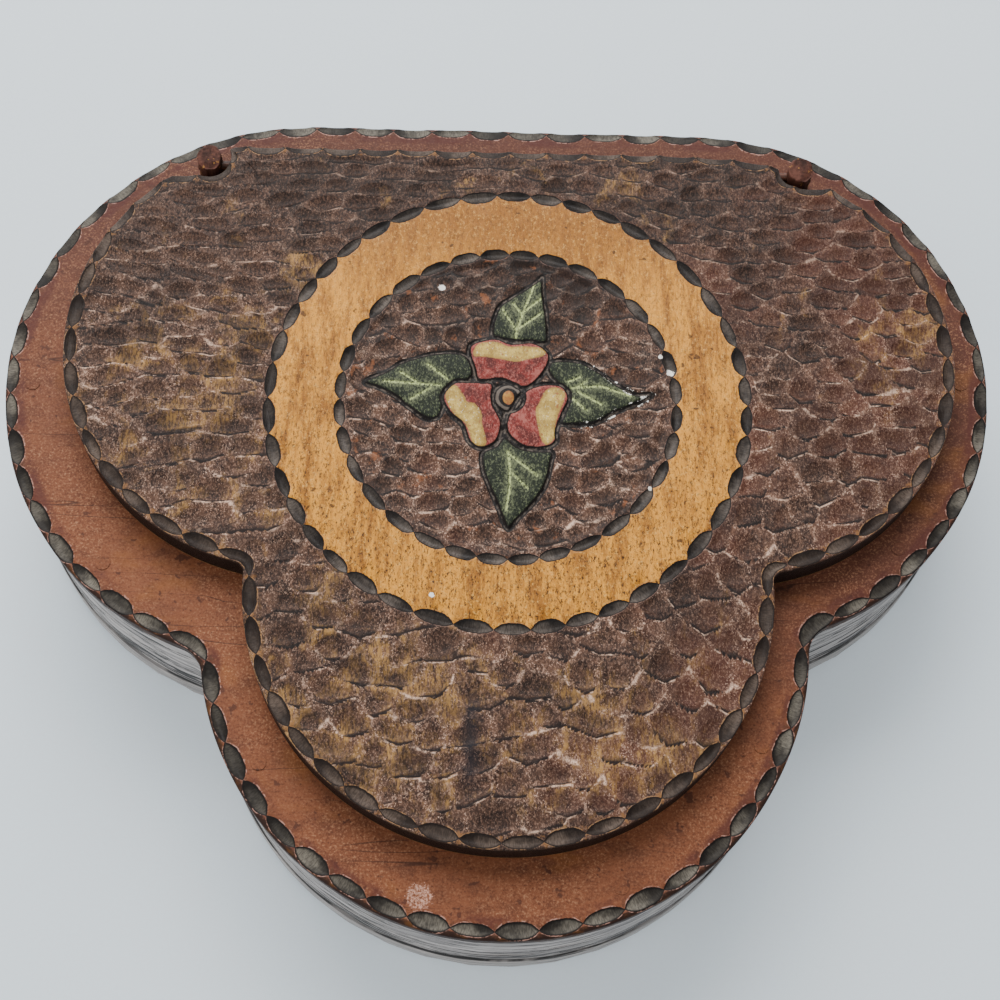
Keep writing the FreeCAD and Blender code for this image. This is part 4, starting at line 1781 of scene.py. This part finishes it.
@dataclass
class Medallion(Piece):
    """Ground inside the ring with the flower standing level with the lid's top."""

    flower: Flower = Flower()
    radius: float = RING_INNER_R - 0.005
    top: float = LID_TOP
    drop: float = 0.06
    ground_drop: float = 0.75
    crest: float = 0.65
    border_ramp: float = 1.2
    outline_cut: float = 0.35
    outline_half: float = 0.45
    vein_cut: float = 0.14
    vein_half: float = 0.4
    bud_rise: float = 0.12
    crown_rise: float = 0.16
    seat: float = 1.2
    cell: float = 0.3
    most_columns: int = 640
    least_columns: int = 40
    marks: GougeMarks = GougeMarks(length=5.2, row=3.4, depth=0.9, steep=0.5, seed=11, turn=0.5)

    def build(self) -> bpy.types.Object:
        """Disc whose rings halve their number of points wherever the radius has halved.

        Returns:
            The piece.
        """
        counts, radii = [self.most_columns], [self.radius]
        count, radius = self.most_columns, self.radius - 0.03
        while count >= self.least_columns:
            halved = self.radius * count / (2 * self.most_columns)
            steps = np.arange(radius, halved if count > self.least_columns else self.cell, -self.cell)
            counts += [count] * len(steps)
            radii += list(steps)
            count, radius = count // 2, steps[-1] - self.cell
        skin = Skin()
        low = self.top - self.seat
        shapes = ("petal", "leaf", "cream", "vein", "bud", "bowl", "outline")
        blank = BLANK_GROUND | {shape: INNER for shape in shapes}
        circles = [r * directions(np.pi / 2 - TURN * np.arange(n) / n) for r, n in zip(radii, counts)]
        skin.ring(circles[0][::2] * 0.5, low, **blank)
        skin.ring(circles[0], low, **blank)
        plan = np.concatenate(circles)
        height, traits = self._relief(plan)
        ends = np.cumsum(counts)[:-1]
        parts = {k: np.split(v, ends) for k, v in traits.items()}
        for i, (circle, level) in enumerate(zip(circles, np.split(height, ends))):
            skin.ring(circle, level, **{k: v[i] for k, v in parts.items()})
        return skin.build("medallion")

    def _relief(self, plan: Array) -> tuple[Array, dict[str, Array]]:
        """Height of the carving: gouged ground, flower standing up from it with crowned petals
        and leaves, cut outlines and veins, and the nicks of the border.

        Args:
            plan: Places, shape (n, 2).

        Returns:
            Heights and traits.
        """
        x, y = plan.T
        cuts = self.marks.relief(x, y)
        level = np.minimum(np.min([cuts[kind] for kind in SCOOP_KINDS], axis=0), self.crest)
        shapes = self.flower.distances(x, y)
        radius = np.hypot(x, y)
        inner_edge = RING_INNER_ROW.middle - RING_INNER_ROW.behind
        open_ground = np.clip((inner_edge - radius) / self.border_ramp, 0, 1)
        ground = -open_ground * (self.ground_drop - level)
        body = np.minimum(shapes["petal"], shapes["leaf"])
        raised = np.clip(0.5 - body / 0.8, 0, 1)
        crown = self.crown_rise * (1 - np.exp(np.minimum(body, 0) / 1.2)) - 0.1
        height = ground * (1 - raised) + crown * raised
        height -= self.outline_cut * np.clip(1 - shapes["outline"] / self.outline_half, 0, 1)
        vein = np.clip(1 - shapes["vein"] / self.vein_half, 0, 1)
        height -= self.vein_cut * vein * (shapes["leaf"] < 0)
        height += self.bud_rise * np.clip(-shapes["bud"] / 0.5, 0, 1)
        height -= RING_INNER_ROW.depth_at(RING_INNER_ROW.run_at(np.arctan2(y, x)), radius)
        traits = shapes | cuts | {"level": level, "open": open_ground * (1 - raised)}
        return self.top - self.drop + height, traits


@dataclass
class RimBoard(Piece):
    """Board under the lid: nicks along its outer edge, and the opening that the lid covers."""

    plan: Trefoil = RIM_PLAN
    opening: Trefoil = LID_PLAN
    base: float = WALL_TOP
    top: float = RIM_TOP
    lap: float = 5.0
    opening_back: float = HINGE_Y - 3.0
    foot_chamfer: float = 0.3
    side_drop: float = 0.9
    rounding: float = 0.5
    strip: float = 3.2
    strip_step: float = 0.24
    row_slide: float = 0.6
    top_drop: float = 0.03
    top_rings: int = 8
    columns_per_nick: int = 14

    def build(self) -> bpy.types.Object:
        """Hoop from the outer side over the top, down the opening and back underneath. The
        top's outer edge is rounded as rounding * exp(-distance / 0.3) and worn in by waves.

        Returns:
            The piece.
        """
        columns = RIM_ROW.count * self.columns_per_nick
        edge = resampled(self.plan.outline(), columns)
        normal = outward(edge, self.columns_per_nick)
        run = np.arange(columns) / self.columns_per_nick
        bearing = np.arctan2(edge[:, 1], edge[:, 0])
        sin = np.sin(bearing)
        reach = self.opening.reach(bearing, self.lap)
        reach = np.minimum(reach, np.where(sin > 0, self.opening_back / np.maximum(sin, 1e-6), np.inf))
        hole = directions(bearing) * reach[:, None]
        worn = 0.1 + 0.1 * np.sin(run * 1.3) * np.sin(run * 0.37)
        side = edge - normal * worn[:, None]
        skin = Skin(joined=True)
        # down the side the distance inside the edge goes on below 0
        skin.ring(edge - normal * self.foot_chamfer, self.base, inward=-3.0)
        skin.ring(side, self.base + self.foot_chamfer, inward=-2.7)
        skin.ring(side, self.top - self.side_drop, inward=-self.side_drop)
        slid = self.row_slide * np.clip((edge[:, 1] + 70) / 100, 0, 1)
        steps = np.arange(0.3, self.strip + 0.01, self.strip_step)
        for inward in np.concatenate([[0.0, 0.15], steps]):
            sunk = RIM_ROW.depth_at(run, inward + slid) + self.rounding * np.exp(-inward / 0.3)
            plan = edge - normal * (inward + worn[:, None])
            skin.ring(plan, self.top - self.top_drop - sunk, inward=inward + slid)
        start = edge - normal * self.strip
        for part in np.arange(1, self.top_rings + 1) / self.top_rings:
            dip = self.top_drop + 0.02 * np.sin(run * 0.9 + 4 * part)
            skin.ring(start + (hole - start) * part, self.top - dip, inward=INNER)
        skin.ring(hole, self.base, inward=INNER)
        return skin.build("rim_frame")


@dataclass
class BarkBand(Piece):
    """Strip of bark round the wall. Its two ends meet at the back but for one station."""

    plan: Trefoil = RIM_PLAN
    base: float = BOTTOM_TOP
    top: float = WALL_TOP
    inset: float = 0.6
    thickness: float = 1.2
    stations: int = 1100
    rows: int = 22

    def build(self) -> bpy.types.Object:
        """Section swept from one end of the strip to the other: its outer face swells and sinks
        by sums of sines along the strip and up it, as dried bark does.

        Returns:
            The piece.
        """
        edge = resampled(self.plan.outline(self.inset), self.stations)
        normal = outward(edge)
        up = np.linspace(0, 1, self.rows)
        run = np.arange(self.stations) / self.stations * TURN
        swell = 0.12 + 0.06 * np.sin(9 * run[:, None] + 3 * up) * np.sin(17 * run[:, None] - 2 * up)
        swell = swell + 0.05 * np.sin(41 * run[:, None] + 9 * up) * np.sin(7 * up + 5 * run[:, None])
        skin = Skin()
        height = self.base + (self.top - self.base) * up
        for i in range(1, self.stations):
            outer = edge[i] - normal[i] * swell[i][:, None]
            inner = edge[i] - normal[i] * np.full((self.rows, 1), self.thickness)
            skin.ring(np.concatenate([outer, inner[::-1]]), np.concatenate([height, height[::-1]]))
        return skin.build("bark_band")


@dataclass
class BottomBoard(Piece):
    """Board that closes the box below, with nicks along its lower edge."""

    plan: Trefoil = RIM_PLAN
    inset: float = 0.3
    base: float = 0.0
    top: float = BOTTOM_TOP
    chamfer: float = 0.4
    rounding: float = 0.35
    nicks_top: float = 3.2
    step: float = 0.27
    columns_per_nick: int = 12

    def build(self) -> bpy.types.Object:
        """Skin from the middle of the underside, up the side and in over the top. The foot is
        rounded as rounding * exp(-height / 0.25).

        Returns:
            The piece.
        """
        columns = BOTTOM_ROW.count * self.columns_per_nick
        edge = resampled(self.plan.outline(self.inset), columns)
        normal = outward(edge, self.columns_per_nick)
        run = np.arange(columns) / self.columns_per_nick
        skin = Skin()
        skin.ring(edge[::2] * 0.6, self.base, inward=INNER)
        skin.ring(edge * 0.96, self.base, inward=INNER)
        steps = np.arange(0.45, self.nicks_top, self.step)
        for height in np.concatenate([[0.0, 0.2], steps, [self.top - self.chamfer]]):
            cut = BOTTOM_ROW.depth_at(run, np.full(columns, height))
            cut = cut + self.rounding * np.exp(-height / 0.25)
            skin.ring(edge - normal * cut[:, None], self.base + height, inward=height)
        skin.ring(edge - normal * 0.25, self.top, inward=7.0)
        skin.ring(edge * 0.9, self.top, inward=INNER)
        skin.ring(edge[::2] * 0.5, self.top, inward=INNER)
        return skin.build("base_board")


@dataclass
class HingePost(Piece):
    """Post whittled with a knife: uneven flats, and an end cut off aslant towards the front."""

    name: str
    centre: Array
    foot: float
    top: float
    seed: int
    radius: float = 2.38
    slope: float = 0.27
    second_slope: float = 0.35
    second_from: float = 0.4
    top_drop: float = 0.05
    arris: float = 0.15
    flats: int = 9
    columns: int = 96

    def build(self) -> bpy.types.Object:
        """Stack of sections: in each direction the nearest of the flats' planes, with each
        plane at a distance that shrinks with height. The end is a plane that falls to the
        front, with a second one cut into it.

        Returns:
            The piece.
        """
        rng = np.random.default_rng(self.seed)
        facing = TURN * (np.arange(self.flats) + rng.uniform(-0.25, 0.25, self.flats)) / self.flats
        away = self.radius * rng.uniform(0.95, 1.0, self.flats)
        lean = rng.uniform(0.0, 0.03, self.flats)
        angle = -TURN * np.arange(self.columns) / self.columns
        turned = np.cos(angle[:, None] - facing)
        direction = directions(angle)
        skin = Skin()
        outline = direction * self.radius
        cut = self.top - self.top_drop - self.slope * (self.radius - outline[:, 1])
        skin.ring(self.centre[:2] + outline, self.foot)
        for share in np.concatenate([[-0.2], np.linspace(0, 1, 20)]):
            height = RIM_TOP + (cut - self.arris - RIM_TOP) * share
            plane = away - lean * np.maximum(0, height[:, None] - RIM_TOP)
            reach = np.where(turned > 0.05, plane / np.maximum(turned, 0.05), np.inf).min(axis=1)
            last = direction * np.minimum(reach, self.radius)[:, None]
            skin.ring(self.centre[:2] + last, height)
        split = directions(np.array([TURN * rng.uniform(0, 1)]))[0]
        for part in np.linspace(0.95, 0.05, 12):
            here = last * part
            fall = self.slope * (self.radius - here[:, 1])
            second = np.maximum(here @ split - self.second_from * self.radius, 0)
            fall = fall + self.second_slope * second
            skin.ring(self.centre[:2] + here, self.top - self.top_drop - fall)
        return skin.build(self.name)


@dataclass
class StudioCamera:
    """Camera at the viewing angle of a person leaning over the table."""

    pitch: float = 67.5
    yaw: float = -3.7
    roll: float = 4.4
    lens: float = 63.0
    distance: float = 306.3
    target: Spot = (-1.40, -19.15, LID_TOP)

    def build(self) -> bpy.types.Object:
        """Camera on a line that rises by the pitch from the target towards the front, turned
        by the yaw about the vertical and by the roll about its own axis.

        Returns:
            The camera.
        """
        pitch, roll = math.radians(self.pitch), math.radians(self.roll)
        back = Vector((0, -math.cos(pitch), math.sin(pitch)))
        upright = Vector((0, math.sin(pitch), math.cos(pitch)))
        level = Vector((1, 0, 0))
        right = math.cos(roll) * level + math.sin(roll) * upright
        up = -math.sin(roll) * level + math.cos(roll) * upright
        turned = Matrix.Rotation(math.radians(self.yaw), 4, "Z")
        axes = Matrix((right, up, back)).transposed().to_4x4()
        place = Vector(self.target) * MM + turned @ back * self.distance * MM
        data = bpy.data.cameras.new("camera")
        data.lens = self.lens
        data.clip_start, data.clip_end = 0.01, 20.0
        camera = bpy.data.objects.new("camera", data)
        camera.matrix_world = Matrix.Translation(place) @ turned @ axes
        bpy.context.scene.collection.objects.link(camera)
        bpy.context.scene.camera = camera
        return camera


@dataclass
class Studio:
    """Pale floor, a large soft lamp behind and above, a weaker one in front, and an even sky,
    in metres. The floor lies a hair above the box's foot, so that the two don't flicker."""

    floor_size: float = 3.0
    floor_top: float = 2e-6
    lamp_place: Spot = (-0.15, 0.7, 0.8)
    lamp_target: Spot = (0.0, 0.0, 0.03)
    lamp_size: float = 0.9
    lamp_power: float = 22.0
    fill_place: Spot = (-0.6, -0.5, 0.7)
    fill_power: float = 4.5
    sky: str = "#e4ecf2"
    sky_strength: float = 0.68

    def _lamp(self, name: str, place: Spot, power: float) -> None:
        """Adds a square lamp that faces the box.

        Args:
            name: Name of the lamp.
            place: Its place, in m.
            power: Its power, in W.
        """
        data = bpy.data.lights.new(name, "AREA")
        data.energy, data.size = power, self.lamp_size
        lamp = bpy.data.objects.new(name, data)
        facing = Vector(self.lamp_target) - Vector(place)
        turned = facing.to_track_quat("-Z", "Y").to_matrix().to_4x4()
        lamp.matrix_world = Matrix.Translation(place) @ turned
        bpy.context.scene.collection.objects.link(lamp)

    def build(self) -> None:
        """Adds the floor, the lamps and the sky."""
        half, top = self.floor_size / 2, self.floor_top
        corners = [(-half, -half, top), (half, -half, top), (half, half, top), (-half, half, top)]
        mesh = bpy.data.meshes.new("floor")
        mesh.from_pydata(corners, [], [(0, 1, 2, 3)])
        floor = bpy.data.objects.new("floor", mesh)
        mesh.materials.append(FloorPaper("pale_floor_board").material())
        bpy.context.scene.collection.objects.link(floor)
        self._lamp("window_lamp", self.lamp_place, self.lamp_power)
        self._lamp("fill_lamp", self.fill_place, self.fill_power)
        world = bpy.data.worlds.new("sky")
        world.use_nodes = True
        background = world.node_tree.nodes["Background"]
        background.inputs["Color"].default_value = linear(self.sky)
        background.inputs["Strength"].default_value = self.sky_strength
        bpy.context.scene.world = world


def dress_frame_nodes() -> None:
    """Gives the frame's own nodes that stay in view their finishes."""
    # bare sapwood with upright sawn grain, matt
    sawn = PlainWood("sawn_birch_wall", "#d9bd94", "#b4895c", (2.2, 2.2, 0.2), 0.7)
    # stained with the posts, grain along the pin, polished by turning
    pins = PlainWood("hinge_pin_wood", "#5e3828", "#2a1811", (0.3, 2.5, 2.5), 0.5)
    pegs = PegWood("rim_peg_ends", RimWood("polished_rim_birch", RIM_ROW))
    # darkened by the table, grain upright
    under = PlainWood("bottom_peg_ends", "#8d6a4c", "#553826", (2.2, 2.2, 0.3), 0.6)
    finishes = {
        "inner_wall": sawn,
        "rim_pegs": pegs,
        "bottom_pegs": under,
        "left_hinge_pin": pins,
        "right_hinge_pin": pins,
    }
    for node, finish in finishes.items():
        slots = bpy.data.objects[node].data.materials
        slots.clear()
        slots.append(finish.material())
        LOG.info("%s dressed as %s", node, finish.name)


def main() -> None:
    """Builds the pieces, dresses the frame's nodes and sets the stage."""
    logging.basicConfig(level=logging.INFO, format="%(message)s")
    lid, medallion = CarvedLid(), Medallion()
    ground = GougedGround(lid.ground_drop, worn_from=0.58, crest_back=0.35, band_low=0.4)
    stained = LidWood("stained_lid_birch", RING_OUTER_ROW, ground, edge_row=LID_EDGE_ROW)
    lid.dress(stained, Body.LID, "lid_wood", "lid_board")
    ground = GougedGround(medallion.crest, worn_from=0.75, crest_back=0.3, band_low=0.2)
    painted = MedallionWood("painted_flower_wood", RING_INNER_ROW, ground)
    medallion.dress(painted, Body.LID, "lid_wood")
    polished = RimWood("polished_rim_birch", RIM_ROW)
    RimBoard().dress(polished, Body.BOX, "rim_wood", "rim_board")
    BarkBand().dress(BarkSkin("birch_bark"), Body.BOX, "bark", "bark_wrap")
    weathered = BottomWood("stained_bottom_birch", BOTTOM_ROW)
    BottomBoard().dress(weathered, Body.BOX, "bottom_wood", "bottom_board")
    # stained knife-cut wood with its grain upright and pale chips where the stain is rubbed off
    whittled = PlainWood(
        "whittled_post_wood", "#5e382c", "#2c1812", (1.8, 1.8, 0.3), 0.68, "#a8763c", fleck_share=0.7
    )
    for side, centre, seed in (("left", LEFT_POST, 3), ("right", RIGHT_POST, 5)):
        node = side + "_hinge_post"
        post = HingePost(side + "_whittled_post", centre, foot_of(node), top_of(node), seed)
        post.dress(whittled, Body.BOX, "post_wood", node)
    dress_frame_nodes()
    StudioCamera().build()
    Studio().build()


if __name__ == "__main__":
    main()
